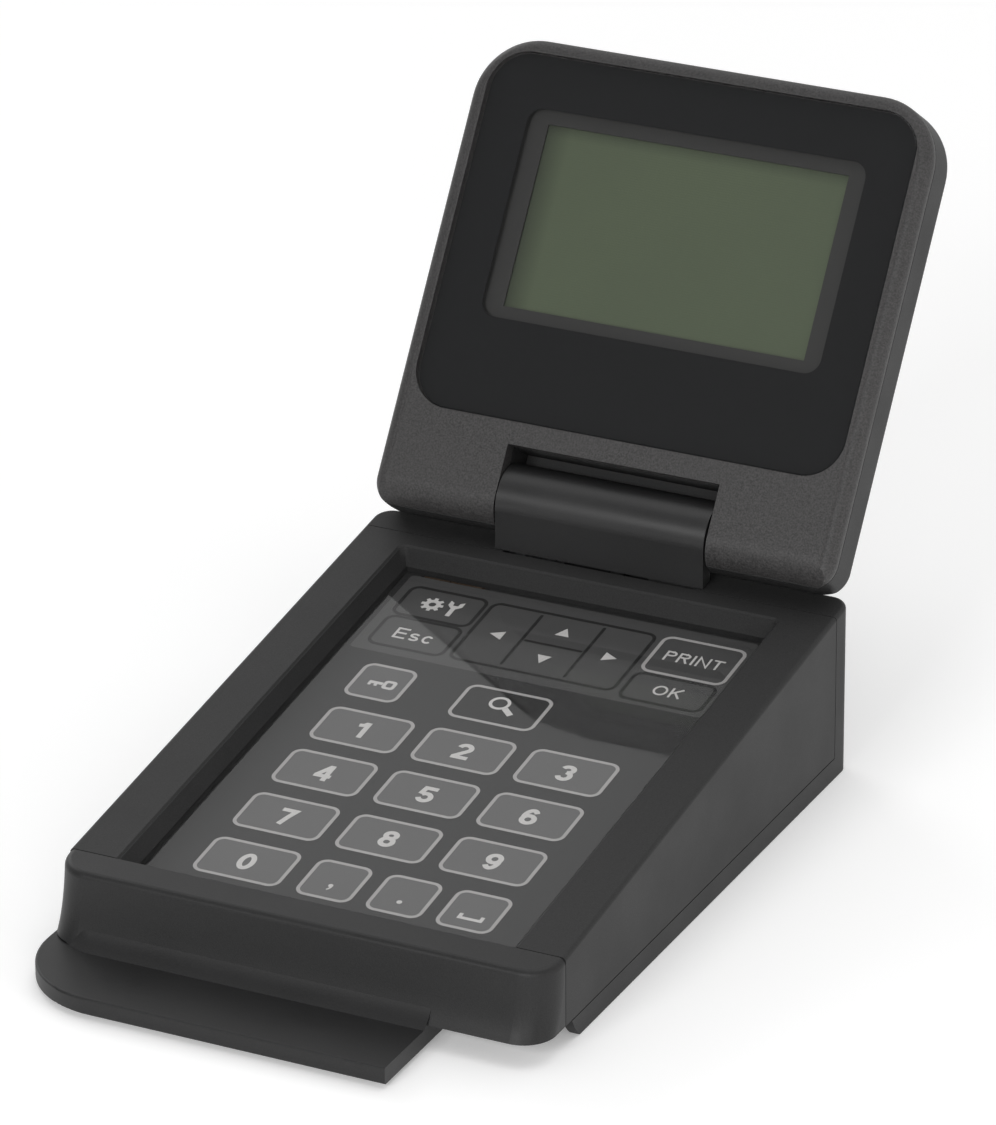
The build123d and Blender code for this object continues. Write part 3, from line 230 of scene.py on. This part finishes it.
def clear_pane(name, polish):
    """A flat clear pane: it lets light straight through and mirrors what its angle calls for."""
    tree = Tree(name)
    tree.nodes.remove(tree.shader)
    through = tree.add("ShaderNodeBsdfTransparent")
    through.inputs["Color"].default_value = PANE_TINT
    shine = tree.add("ShaderNodeBsdfGlossy")
    shine.inputs["Color"].default_value = (1, 1, 1, 1)
    smudge = tree.noise(45.0, detail=4.0)
    tree.join(tree.spread(smudge, polish, polish + 0.035), shine.inputs["Roughness"])
    fresnel = tree.add("ShaderNodeFresnel")
    fresnel.inputs["IOR"].default_value = PANE_INDEX
    side = tree.add("ShaderNodeNewGeometry").outputs["Backfacing"]
    front_only = tree.add("ShaderNodeMath", operation="SUBTRACT")
    front_only.inputs[0].default_value = 1.0
    tree.join(side, front_only.inputs[1])
    share = tree.add("ShaderNodeMath", operation="MULTIPLY")
    tree.join(fresnel.outputs["Fac"], share.inputs[0])
    tree.join(front_only.outputs["Value"], share.inputs[1])
    blend = tree.add("ShaderNodeMixShader")
    tree.join(share.outputs["Value"], blend.inputs["Fac"])
    tree.join(through.outputs["BSDF"], blend.inputs[1])
    tree.join(shine.outputs["BSDF"], blend.inputs[2])
    tree.join(blend.outputs["Shader"], tree.nodes["Material Output"].inputs["Surface"])
    return tree.material


# The screen's field, measured from the frame's origin across it and up the display.
LID_LEAN = math.radians(33.88)
LID_UP = Vector((0, math.sin(LID_LEAN), math.cos(LID_LEAN)))
HINGE = Vector(frame["record"]["behaviour"]["joints"][0]["pos_m"])
SCREEN_MIDDLE, SCREEN_WIDTH, SCREEN_HEIGHT = 58.85 * MM, 68.8 * MM, 39.7 * MM
SCREEN_LEFT = -SCREEN_WIDTH / 2
SCREEN_TOP = HINGE.dot(LID_UP) + SCREEN_MIDDLE + SCREEN_HEIGHT / 2
LEFT_SHADE, TOP_SHADE = 5.5 * MM, 2.6 * MM
DOTS_PER_METRE = 1700.0


def liquid_crystal(name):
    """The screen's green-grey field, with its dot grid and a slow uneven tone."""
    tree = Tree(name)
    dots = tree.add("ShaderNodeTexBrick")
    dots.offset = 0.0
    dots.inputs["Scale"].default_value = DOTS_PER_METRE
    dots.inputs["Mortar Size"].default_value = 0.06
    dots.inputs["Brick Width"].default_value = 0.5
    dots.inputs["Row Height"].default_value = 0.5
    dots.inputs["Color1"].default_value = (0.1, 0.126, 0.076, 1)
    dots.inputs["Color2"].default_value = (0.104, 0.13, 0.078, 1)
    dots.inputs["Mortar"].default_value = (0.088, 0.111, 0.069, 1)
    tree.join(tree.place, dots.inputs["Vector"])
    tone = tree.noise(25.0, detail=2.0)
    field = tree.mix(tree.spread(tone, 0.0, 0.5), dots.outputs["Color"], (0.088, 0.109, 0.07))
    # the frame keeps light off the field along its left and top edges
    from_left = tree.spread(tree.along((1, 0, 0)), 0.42, 1.0, SCREEN_LEFT, SCREEN_LEFT + LEFT_SHADE)
    from_top = tree.spread(tree.along(LID_UP), 1.0, 0.6, SCREEN_TOP - TOP_SHADE, SCREEN_TOP)
    shade = tree.add("ShaderNodeMath", operation="MULTIPLY")
    tree.join(from_left, shade.inputs[0])
    tree.join(from_top, shade.inputs[1])
    tree.colour(tree.mix(shade.outputs["Value"], (0.012, 0.014, 0.011), field))
    tree.roughness(tree.spread(tree.noise(700.0), 0.32, 0.42))
    tree.fixed(Specular_IOR_Level=0.3)
    return tree.material


def print_ink(name, colour, roughness=0.5):
    """Screen-printed ink: faint pinholes and density changes."""
    tree = Tree(name)
    density = tree.noise(1500.0, detail=2.0)
    tree.colour(tree.mix(tree.spread(density, 0.0, 1.0), scaled(colour, 0.96), scaled(colour, 1.03)))
    tree.roughness(tree.spread(density, roughness - 0.03, roughness + 0.05))
    tree.bump(density, 0.000002, 0.1)
    tree.fixed(Specular_IOR_Level=0.2)
    return tree.material


# ------------------------------------------------------------------ materials of the CAD nodes
BLACK = (0.026, 0.026, 0.0262)
GREY_BLACK = (0.0155, 0.0155, 0.0158)
CHARCOAL = (0.04, 0.0385, 0.0385)

housing = moulded_plastic("housing_plastic", BLACK, 0.5, 3800.0, 0.000018, gloss=0.22)
cover_plastic = moulded_plastic("cover_plastic", GREY_BLACK, 0.46, 3800.0, 0.000018, gloss=0.38)
lid_plastic = moulded_plastic("lid_plastic", CHARCOAL, 0.5, 2600.0, 0.00004, fleck=0.5)
knuckle_plastic = moulded_plastic("knuckle_plastic", GREY_BLACK, 0.4, 3800.0, 0.000015, gloss=0.6)
steel = metal("plated_steel", (0.58, 0.58, 0.6), 0.34, (1.0, 8.0, 1.0))
brass = metal("turned_brass", (0.72, 0.53, 0.24), 0.3, (1.0, 1.0, 8.0))
contact = metal("plated_contacts", (0.83, 0.62, 0.26), 0.24)
black_resin = plain_resin("black_resin", (0.018, 0.018, 0.019), 0.45)
mask_ink = print_ink("mask_ink", (0.0065, 0.007, 0.0078), 0.6)
frame_paint = plain_resin("screen_frame_paint", (0.021, 0.021, 0.02), 0.5, 1800.0)

NODE_MATERIALS = {
    housing: ["upper_housing", "lower_housing", "lid_rear_cover"],
    cover_plastic: ["front_cover"],
    lid_plastic: ["lid_front_frame"],
    knuckle_plastic: ["hinge_knuckle_cover"],
    clear_pane("panel_glass", 0.02): ["touch_panel_glass"],
    clear_pane("window_pane", 0.015): ["display_window"],
    print_ink("sheet_ink", (0.02, 0.02, 0.0205)): ["key_sheet"],
    mask_ink: ["window_mask"],
    frame_paint: ["screen_frame"],
    liquid_crystal("liquid_crystal"): ["screen_glass"],
    steel: [
        "housing_screws", "main_board_screws", "hinge_bracket", "hinge_bracket_screws",
        "display_board_screws", "lid_screws", "hinge_leaf", "hinge_leaf_screws",
        "hinge_shaft", "friction_discs", "shaft_nut",
    ],
    brass: ["mounting_inserts"],
    contact: ["host_contacts"],
    metal("capacitor_can", (0.8, 0.8, 0.82), 0.25): ["board_capacitors"],
    circuit_board("circuit_board"): ["main_board", "display_board"],
    black_resin: ["board_chips", "buzzer", "host_socket", "display_chips"],
    plain_resin("connector_resin", (0.72, 0.68, 0.56), 0.45): ["board_sockets", "display_socket"],
    plain_resin("bearing_resin", (0.05, 0.05, 0.05), 0.4): [
        "harness_side_bearing", "harness_side_bush",
    ],
    plain_resin("light_guide", (0.82, 0.83, 0.8), 0.35): ["backlight"],
    plain_resin("flex_film", (0.05, 0.028, 0.012), 0.3): ["touch_panel_tail"],
    plain_resin("harness_sleeve", (0.02, 0.02, 0.02), 0.55, 2500.0): [
        "display_harness_base", "display_harness_lid",
    ],
}
for material, names in NODE_MATERIALS.items():
    for name in names:
        data = nodes[name].data
        data.materials.clear()
        data.materials.append(material)

# ------------------------------------------------------------------ printed key sheet
# Print lies on the sheet as thin layers. Places on the sheet are given in millimetres:
# x to the right of the middle, v up the slope from the front seam.
SLOPE = math.radians(7.66)
SHEET_BACK_V = 121.8
SHEET_THICKNESS = 0.25
sheet_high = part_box("key_sheet")[1]
UP_SLOPE = Vector((0, math.cos(SLOPE), math.sin(SLOPE)))
OUT = Vector((0, -math.sin(SLOPE), math.cos(SLOPE)))
BACK_EDGE = Vector((0, sheet_high.y - SHEET_THICKNESS * MM * math.sin(SLOPE), sheet_high.z))
ORIGIN = BACK_EDGE - UP_SLOPE * SHEET_BACK_V * MM
TO_SHEET = Matrix.Translation(ORIGIN) @ Matrix(
    (Vector((1, 0, 0)), UP_SLOPE, OUT)
).transposed().to_4x4()

# Heights of the inks' tops above the sheet, and of their shared foot.
ZONE_LIFT, FILL_LIFT, LINE_LIFT, MARK_LIFT = 0.015, 0.03, 0.045, 0.06
PRINT_FOOT = 0.002
STROKE_STEP = 0.004
CORNER_STEPS = 8


def rounded(x, v, width, height, radius):
    """Outline of a rounded rectangle centred on (x, v)."""
    points = []
    for quarter, (sx, sy) in enumerate(((1, 1), (-1, 1), (-1, -1), (1, -1))):
        cx = x + sx * (width / 2 - radius)
        cy = v + sy * (height / 2 - radius)
        for step in range(CORNER_STEPS + 1):
            turn = math.radians(90 * (quarter + step / CORNER_STEPS))
            points.append((cx + radius * math.cos(turn), cy + radius * math.sin(turn)))
    return points


def disc(x, v, radius, steps=28):
    """Outline of a circle centred on (x, v)."""
    turns = [2 * math.pi * k / steps for k in range(steps)]
    return [(x + radius * math.cos(turn), v + radius * math.sin(turn)) for turn in turns]


MITRE_LIMIT = 0.45            # keeps sharp corners from running out to long points


def band(points, half, closed):
    """The two sides of a line of half-width `half` along the points."""
    count = len(points)
    left, right = [], []
    for k, (x, v) in enumerate(points):
        before = points[k - 1] if closed or k else None
        after = points[(k + 1) % count] if closed or k < count - 1 else None
        ways = []
        for start, end in ((before, (x, v)), ((x, v), after)):
            if start is not None and end is not None:
                ways.append(Vector((end[0] - start[0], end[1] - start[1])).normalized())
        mean = sum(ways, Vector((0.0, 0.0))).normalized()
        reach = half / max(mean.dot(ways[0]), MITRE_LIMIT)
        side = Vector((-mean.y, mean.x)) * reach
        left.append((x + side.x, v + side.y))
        right.append((x - side.x, v - side.y))
    return left, right


def arc(cx, cy, rx, ry, start, end, steps=18):
    """Points along an ellipse from one angle to another, in degrees."""
    turns = [math.radians(start + (end - start) * k / steps) for k in range(steps + 1)]
    return [(cx + rx * math.cos(t), cy + ry * math.sin(t)) for t in turns]


def oval(cx, cy, rx, ry):
    """Points round an ellipse, for a closed line."""
    return arc(cx, cy, rx, ry, 0, 345, 23)


# Lettering, as shares of a letter's height.
GLYPH_WIDTHS = {
    "1": 0.5, "E": 0.6, "s": 0.5, "c": 0.52, "I": 0.16, "O": 0.8, "K": 0.68, "N": 0.7, "P": 0.6,
    "R": 0.64, "T": 0.6,
}
DIGIT_WIDTH = 0.6
LETTER_GAP = 0.13
X_HEIGHT = 0.72
WAIST = 0.54                  # where the two loops of 3 and 8 meet


def glyph_width(character):
    return GLYPH_WIDTHS.get(character, DIGIT_WIDTH)


def glyph(character, weight):
    """Strokes of a plain sans digit or letter one unit tall: [(points, closed)]."""
    w, h = glyph_width(character), weight / 2
    mid, rx = w / 2, w / 2 - h
    low, high = h, 1 - h
    upper = ((WAIST + high) / 2, (high - WAIST) / 2)
    lower = ((WAIST + low) / 2, (WAIST - low) / 2)
    bowl = (0.33, 0.33 - h)
    x_mid = X_HEIGHT / 2
    small = x_mid - h
    six = [
        (oval(mid, bowl[0], rx, bowl[1]), True),
        (arc(mid, 0.5, rx, 0.5 - h, 185, 38), False),
    ]
    shapes = {
        "0": [(oval(mid, 0.5, rx, 0.5 - h), True)],
        "1": [([(0.66 * w, 0), (0.66 * w, 1)], False),
              ([(0.08 * w, 0.76), (0.42 * w, 0.8), (0.62 * w, 0.96)], False)],
        "2": [(arc(mid, 0.69, rx, 0.31 - h, 172, -35) + [(0.42 * w, 0.32), (h, low + 0.03)], False),
              ([(0.02, low), (w, low)], False)],
        "3": [(arc(mid, upper[0], rx * 0.92, upper[1], 165, -90), False),
              (arc(mid, lower[0], rx, lower[1], 90, -165), False)],
        "4": [([(0.72 * w, 0), (0.72 * w, 1)], False), ([(0.68 * w, 0.94), (h * 0.9, 0.32)], False),
              ([(0.01, 0.3), (w, 0.3)], False)],
        "5": [([(0.93 * w, high), (0.24 * w, high), (0.15 * w, 0.5)], False),
              (arc(mid, bowl[0], rx, bowl[1], 140, -165), False)],
        "6": six,
        "7": [([(0.02, high), (w - h, high), (0.62 * w, 0.52), (0.4 * w, 0)], False)],
        "8": [(oval(mid, upper[0], rx * 0.9, upper[1]), True),
              (oval(mid, lower[0], rx, lower[1]), True)],
        "9": [([(w - a, 1 - b) for a, b in points], closed) for points, closed in six],
        "E": [([(w, high), (h, high), (h, low), (w, low)], False),
              ([(h, 0.52), (0.92 * w, 0.52)], False)],
        "s": [(arc(mid, x_mid + small / 2, rx * 0.92, small / 2, 25, 265, 12)
               + arc(mid, x_mid - small / 2, rx, small / 2, 85, -155, 12), False)],
        "c": [(arc(mid, x_mid, rx, small, 42, 318), False)],
        "O": [(oval(mid, 0.5, rx, 0.5 - h), True)],
        "K": [([(h, 0), (h, 1)], False), ([(w - h, 0.98), (h, 0.4)], False),
              ([(0.36 * w, 0.6), (w - h, 0.02)], False)],
        "P": [([(h, 0), (h, high), (0.55 * w, high)]
               + arc(0.55 * w, 0.74, 0.45 * w - h, 0.26 - h, 90, -90, 12)
               + [(h, 0.48 + h)], False)],
        "I": [([(mid, 0), (mid, 1)], False)],
        "N": [([(h, 0), (h, 0.97), (w - h, 0.03), (w - h, 1)], False)],
        "T": [([(0, high), (w, high)], False), ([(mid, 0), (mid, high)], False)],
    }
    shapes["R"] = shapes["P"] + [([(0.5 * w, 0.48 + h), (w - h * 0.8, 0.02)], False)]
    return shapes[character]


class Print:
    """One ink's marks, gathered into a single thin piece."""

    def __init__(self, name, material, lift):
        self.name = name
        self.material = material
        self.top = lift
        self.mesh = bmesh.new()

    def solid(self, points):
        """A filled shape with the sheet's print thickness."""
        upper = [self.mesh.verts.new((x * MM, v * MM, self.top * MM)) for x, v in points]
        lower = [self.mesh.verts.new((x * MM, v * MM, PRINT_FOOT * MM)) for x, v in points]
        self.mesh.faces.new(upper)
        self.mesh.faces.new(lower[::-1])
        for k in range(len(points)):
            after = (k + 1) % len(points)
            self.mesh.faces.new((lower[k], lower[after], upper[after], upper[k]))

    def strip(self, one, other, top, closed):
        """The four long sides of a band between two lines with the same number of points."""
        rows = [
            [self.mesh.verts.new((x * MM, v * MM, z * MM)) for x, v in points]
            for points, z in ((one, top), (other, top), (other, PRINT_FOOT), (one, PRINT_FOOT))
        ]
        count = len(one)
        for k in range(count if closed else count - 1):
            after = (k + 1) % count
            for near, far in zip(rows, rows[1:] + rows[:1]):
                self.mesh.faces.new((near[k], near[after], far[after], far[k]))
        return rows

    def ring(self, outer, inner):
        """The band between two closed outlines."""
        self.strip(outer, inner, self.top, closed=True)

    def outline(self, x, v, width, height, radius, stroke):
        """A rounded rectangle drawn as a line of width `stroke`."""
        self.ring(
            rounded(x, v, width + stroke, height + stroke, radius + stroke / 2),
            rounded(x, v, width - stroke, height - stroke, max(radius - stroke / 2, 0.2)),
        )

    def stroke(self, points, width, closed=False, raised=0.0):
        """A line of even width along a run of points, with mitred corners."""
        left, right = band(points, width / 2, closed)
        rows = self.strip(left, right, self.top + raised, closed)
        if not closed:
            for k in (0, len(points) - 1):
                self.mesh.faces.new([row[k] for row in rows])

    def letters(self, text, x, v, height, weight, stretch=1.0):
        """Plain sans lettering centred on (x, v); weight is the stroke as a share of the height."""
        gap = LETTER_GAP * stretch
        length = sum(glyph_width(c) for c in text) * stretch + gap * (len(text) - 1)
        start = x - length * height / 2
        for character in text:
            # each stroke tops the last by a hair, so that their faces don't coincide where they cross
            for index, (points, closed) in enumerate(glyph(character, weight)):
                placed = [(start + a * stretch * height, v + (b - 0.5) * height) for a, b in points]
                self.stroke(placed, weight * height, closed, index * STROKE_STEP)
            start += (glyph_width(character) * stretch + gap) * height

    def finish(self):
        """Lay the marks on the sheet as one piece that rides on the base."""
        data = bpy.data.meshes.new(self.name)
        bmesh.ops.recalc_face_normals(self.mesh, faces=self.mesh.faces)
        self.mesh.to_mesh(data)
        self.mesh.free()
        data.transform(TO_SHEET)
        data.materials.append(self.material)
        piece = bpy.data.objects.new(self.name, data)
        scene.collection.objects.link(piece)
        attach(piece, "base")


zone_ink = print_ink("zone_ink", (0.068, 0.068, 0.068))
fill_ink = print_ink("key_fill_ink", (0.12, 0.12, 0.12))
dark_ink = print_ink("dark_ink", (0.012, 0.012, 0.012))
pale_ink = print_ink("pale_ink", (0.42, 0.41, 0.405))
white_ink = print_ink("white_ink", (0.62, 0.61, 0.6))

zone = Print("function_zone_print", zone_ink, ZONE_LIFT)
fills = Print("key_face_print", fill_ink, FILL_LIFT)
dark_faces = Print("dark_key_face_print", dark_ink, FILL_LIFT)
dark_lines = Print("dark_outline_print", dark_ink, LINE_LIFT)
pale_lines = Print("key_outline_print", pale_ink, LINE_LIFT)
marks = Print("key_legend_print", white_ink, MARK_LIFT)

ZONE_MIDDLE_V, ZONE_WIDTH, ZONE_HEIGHT = 107.3, 79.6, 29.4
zone.solid(rounded(0, ZONE_MIDDLE_V, ZONE_WIDTH, ZONE_HEIGHT, 1.0))

COLUMNS = (-22.85, 0.0, 22.85)
ROWS = (65.1, 48.4, 31.6)
KEY_WIDTH, KEY_HEIGHT, KEY_CORNER = 18.6, 11.9, 2.0
SMALL_KEY_WIDTH, SMALL_KEY_HEIGHT = 11.4, 12.0
SMALL_KEYS = (-3.5, 11.8, 27.0)
BOTTOM_ROW = 14.7
SMALL_ROW = 14.6
TOP_ROW = 82.2
LOCK_KEY_X = -27.2
STROKE = 0.75
DIGIT_HEIGHT = 5.6
DIGIT_WEIGHT = 0.2


def key(x, v, width, height=KEY_HEIGHT, face=fills):
    """A filled key with its pale outline."""
    face.solid(rounded(x, v, width, height, KEY_CORNER))
    pale_lines.outline(x, v, width, height, KEY_CORNER, STROKE)


def number_key(x, v, digit):
    """A wide key with a digit on it."""
    key(x, v, KEY_WIDTH)
    marks.letters(digit, x, v - 0.1, DIGIT_HEIGHT, DIGIT_WEIGHT, stretch=1.12)


for row, v in enumerate(ROWS):
    for column, x in enumerate(COLUMNS):
        number_key(x, v, str(3 * row + column + 1))
number_key(COLUMNS[0], BOTTOM_ROW, "0")

for x in SMALL_KEYS:
    key(x, SMALL_ROW, SMALL_KEY_WIDTH, SMALL_KEY_HEIGHT)

# comma, full stop and space marks
marks.solid(disc(-3.4, 12.9, 0.52))
marks.solid([
    (-3.0, 13.0), (-2.9, 12.5), (-3.1, 11.8), (-3.6, 11.3), (-3.8, 11.5), (-3.45, 12.0), (-3.4, 12.4),
])
marks.solid(disc(11.8, 12.5, 0.58))
marks.solid([
    (24.6, 13.4), (24.6, 11.6), (30.0, 11.6), (30.0, 13.4), (29.2, 13.4), (29.2, 12.4), (25.4, 12.4),
    (25.4, 13.4),
])

# lock key and search key
key(LOCK_KEY_X, TOP_ROW, SMALL_KEY_WIDTH)
key(0.0, TOP_ROW, KEY_WIDTH, face=dark_faces)
marks.ring(rounded(-25.1, 81.9, 2.8, 3.1, 0.8), rounded(-25.1, 81.9, 1.3, 1.6, 0.4))
marks.solid([
    (-26.6, 82.4), (-29.7, 82.4), (-29.7, 80.8), (-29.0, 80.8), (-29.0, 81.5), (-28.3, 81.5),
    (-28.3, 80.8), (-27.6, 80.8), (-27.6, 81.5), (-26.6, 81.5),
])
marks.ring(disc(-0.8, 83.6, 2.3), disc(-0.8, 83.6, 1.6))
marks.stroke([(1.0, 82.1), (3.1, 80.2)], 1.35)

# function keys: settings, Esc, the arrows and OK with dark outlines, PRINT with a pale one
FUNCTION_KEYS = (
    (-28.7, 112.8, 17.5, 10.9),
    (-28.7, 100.9, 17.0, 11.0),
    (0.0, 106.9, 37.1, 22.3),
    (29.5, 99.2, 18.1, 9.8),
)
PRINT_KEY = (29.6, 111.8, 18.2, 13.3)
DIVIDER_WIDTH = 0.7
DARK_STROKE = 0.8
LETTER_WEIGHT = 0.135
for x, v, width, height in FUNCTION_KEYS:
    dark_lines.outline(x, v, width, height, KEY_CORNER, DARK_STROKE)
pale_lines.outline(*PRINT_KEY, KEY_CORNER, STROKE)

CLUSTER_TOP, CLUSTER_BOTTOM, DIVIDER_X, DIVIDER_V = 116.9, 96.9, 7.15, 107.0
for x in (-DIVIDER_X, DIVIDER_X):
    dark_lines.solid(rounded(x, DIVIDER_V, DIVIDER_WIDTH, CLUSTER_TOP - CLUSTER_BOTTOM, 0.3))
dark_lines.solid(rounded(0, DIVIDER_V, 2 * DIVIDER_X - 1.1, DIVIDER_WIDTH, 0.3))
ARROW = 1.55
for x, v, turn in ((12.7, 107.0, 0), (0.0, 112.3, 90), (-12.7, 107.0, 180), (0.0, 101.8, 270)):
    corners = [(ARROW * 1.1, 0), (-ARROW * 0.8, ARROW), (-ARROW * 0.8, -ARROW)]
    angle = math.radians(turn)
    marks.solid([
        (x + a * math.cos(angle) - b * math.sin(angle), v + a * math.sin(angle) + b * math.cos(angle))
        for a, b in corners
    ])

marks.letters("Esc", -28.7, 100.7, 3.9, LETTER_WEIGHT, stretch=1.22)
marks.letters("OK", 29.5, 99.2, 3.5, LETTER_WEIGHT, stretch=1.15)
marks.letters("PRINT", *PRINT_KEY[:2], 3.5, LETTER_WEIGHT, stretch=1.15)


def gear(x, v, teeth, tip, root):
    """Outline of a toothed wheel."""
    points = []
    for k in range(teeth):
        for share, radius in ((-0.3, root), (-0.2, tip), (0.2, tip), (0.3, root)):
            angle = 2 * math.pi * (k + share) / teeth
            points.append((x + radius * math.cos(angle), v + radius * math.sin(angle)))
    return points


GEAR = (-30.6, 112.9)
gear_outline = gear(*GEAR, 8, 2.5, 1.8)
marks.ring(gear_outline, disc(*GEAR, 0.8, len(gear_outline)))
marks.solid([
    (-26.3, 109.9), (-25.3, 109.9), (-25.3, 112.8), (-24.2, 113.9), (-24.2, 115.6), (-25.1, 115.0),
    (-25.2, 114.0), (-26.4, 114.0), (-26.5, 115.0), (-27.4, 115.6), (-27.4, 113.9), (-26.3, 112.8),
])

for layer in (zone, fills, dark_faces, dark_lines, pale_lines, marks):
    layer.finish()

# ------------------------------------------------------------------ floor, light and world
FLOOR_SIZE = 8.0
FLOOR_DROP = 0.0001
bpy.ops.mesh.primitive_plane_add(size=FLOOR_SIZE, location=(0, 0, -FLOOR_DROP))
floor = bpy.context.object
floor.name = "floor"
floor_tree = Tree("floor_paper")
floor_tree.colour(floor_tree.mix(floor_tree.noise(3.0), (0.88, 0.88, 0.88), (0.9, 0.9, 0.9)))
floor_tree.fixed(Roughness=0.9, Specular_IOR_Level=0.1)
floor_tree.fixed(Emission_Color=(1, 1, 1, 1), Emission_Strength=0.24)
floor.data.materials.append(floor_tree.material)


def soft_light(name, place, target, size, watts, colour=(1, 1, 1)):
    """A rectangular lamp at `place` that faces `target`."""
    data = bpy.data.lights.new(name, "AREA")
    data.shape = "RECTANGLE"
    data.size, data.size_y = size
    data.energy = watts
    data.color = colour
    lamp = bpy.data.objects.new(name, data)
    lamp.location = place
    aim = Vector(target) - Vector(place)
    lamp.rotation_euler = aim.to_track_quat("-Z", "Y").to_euler()
    scene.collection.objects.link(lamp)


soft_light("overhead", (0.1, 0.2, 2.2), (0, 0, 0.05), (1.6, 1.6), 8)
soft_light("right_side", (2.05, -0.51, 0.8), (0, 0.05, 0.08), (0.5, 0.5), 4.2, (1.0, 0.97, 0.95))
soft_light("front_key", (-0.2, -2.0, 1.12), (0, 0, 0.08), (0.9, 0.5), 16)
soft_light("front_right", (1.15, -2.0, 0.85), (0, 0, 0.08), (1.1, 0.9), 9)
soft_light("back_left", (-2.0, 1.2, 1.3), (0, 0, 0.05), (1.2, 0.8), 8)

world = bpy.data.worlds.new("studio")
scene.world = world
world.use_nodes = True
world_nodes = world.node_tree.nodes
world_links = world.node_tree.links
direction = world_nodes.new("ShaderNodeTexCoord").outputs["Generated"]
split_axes = world_nodes.new("ShaderNodeSeparateXYZ")
world_links.new(direction, split_axes.inputs["Vector"])
behind = world_nodes.new("ShaderNodeMapRange")
behind.inputs["From Min"].default_value = -0.6
behind.inputs["From Max"].default_value = 0.5
behind.inputs["To Min"].default_value = 0.2
behind.inputs["To Max"].default_value = 0.78
world_links.new(split_axes.outputs["Y"], behind.inputs["Value"])
world_links.new(behind.outputs["Result"], world_nodes["Background"].inputs["Strength"])
world_nodes["Background"].inputs["Color"].default_value = (1, 1, 1, 1)

scene.view_settings.view_transform = "Standard"
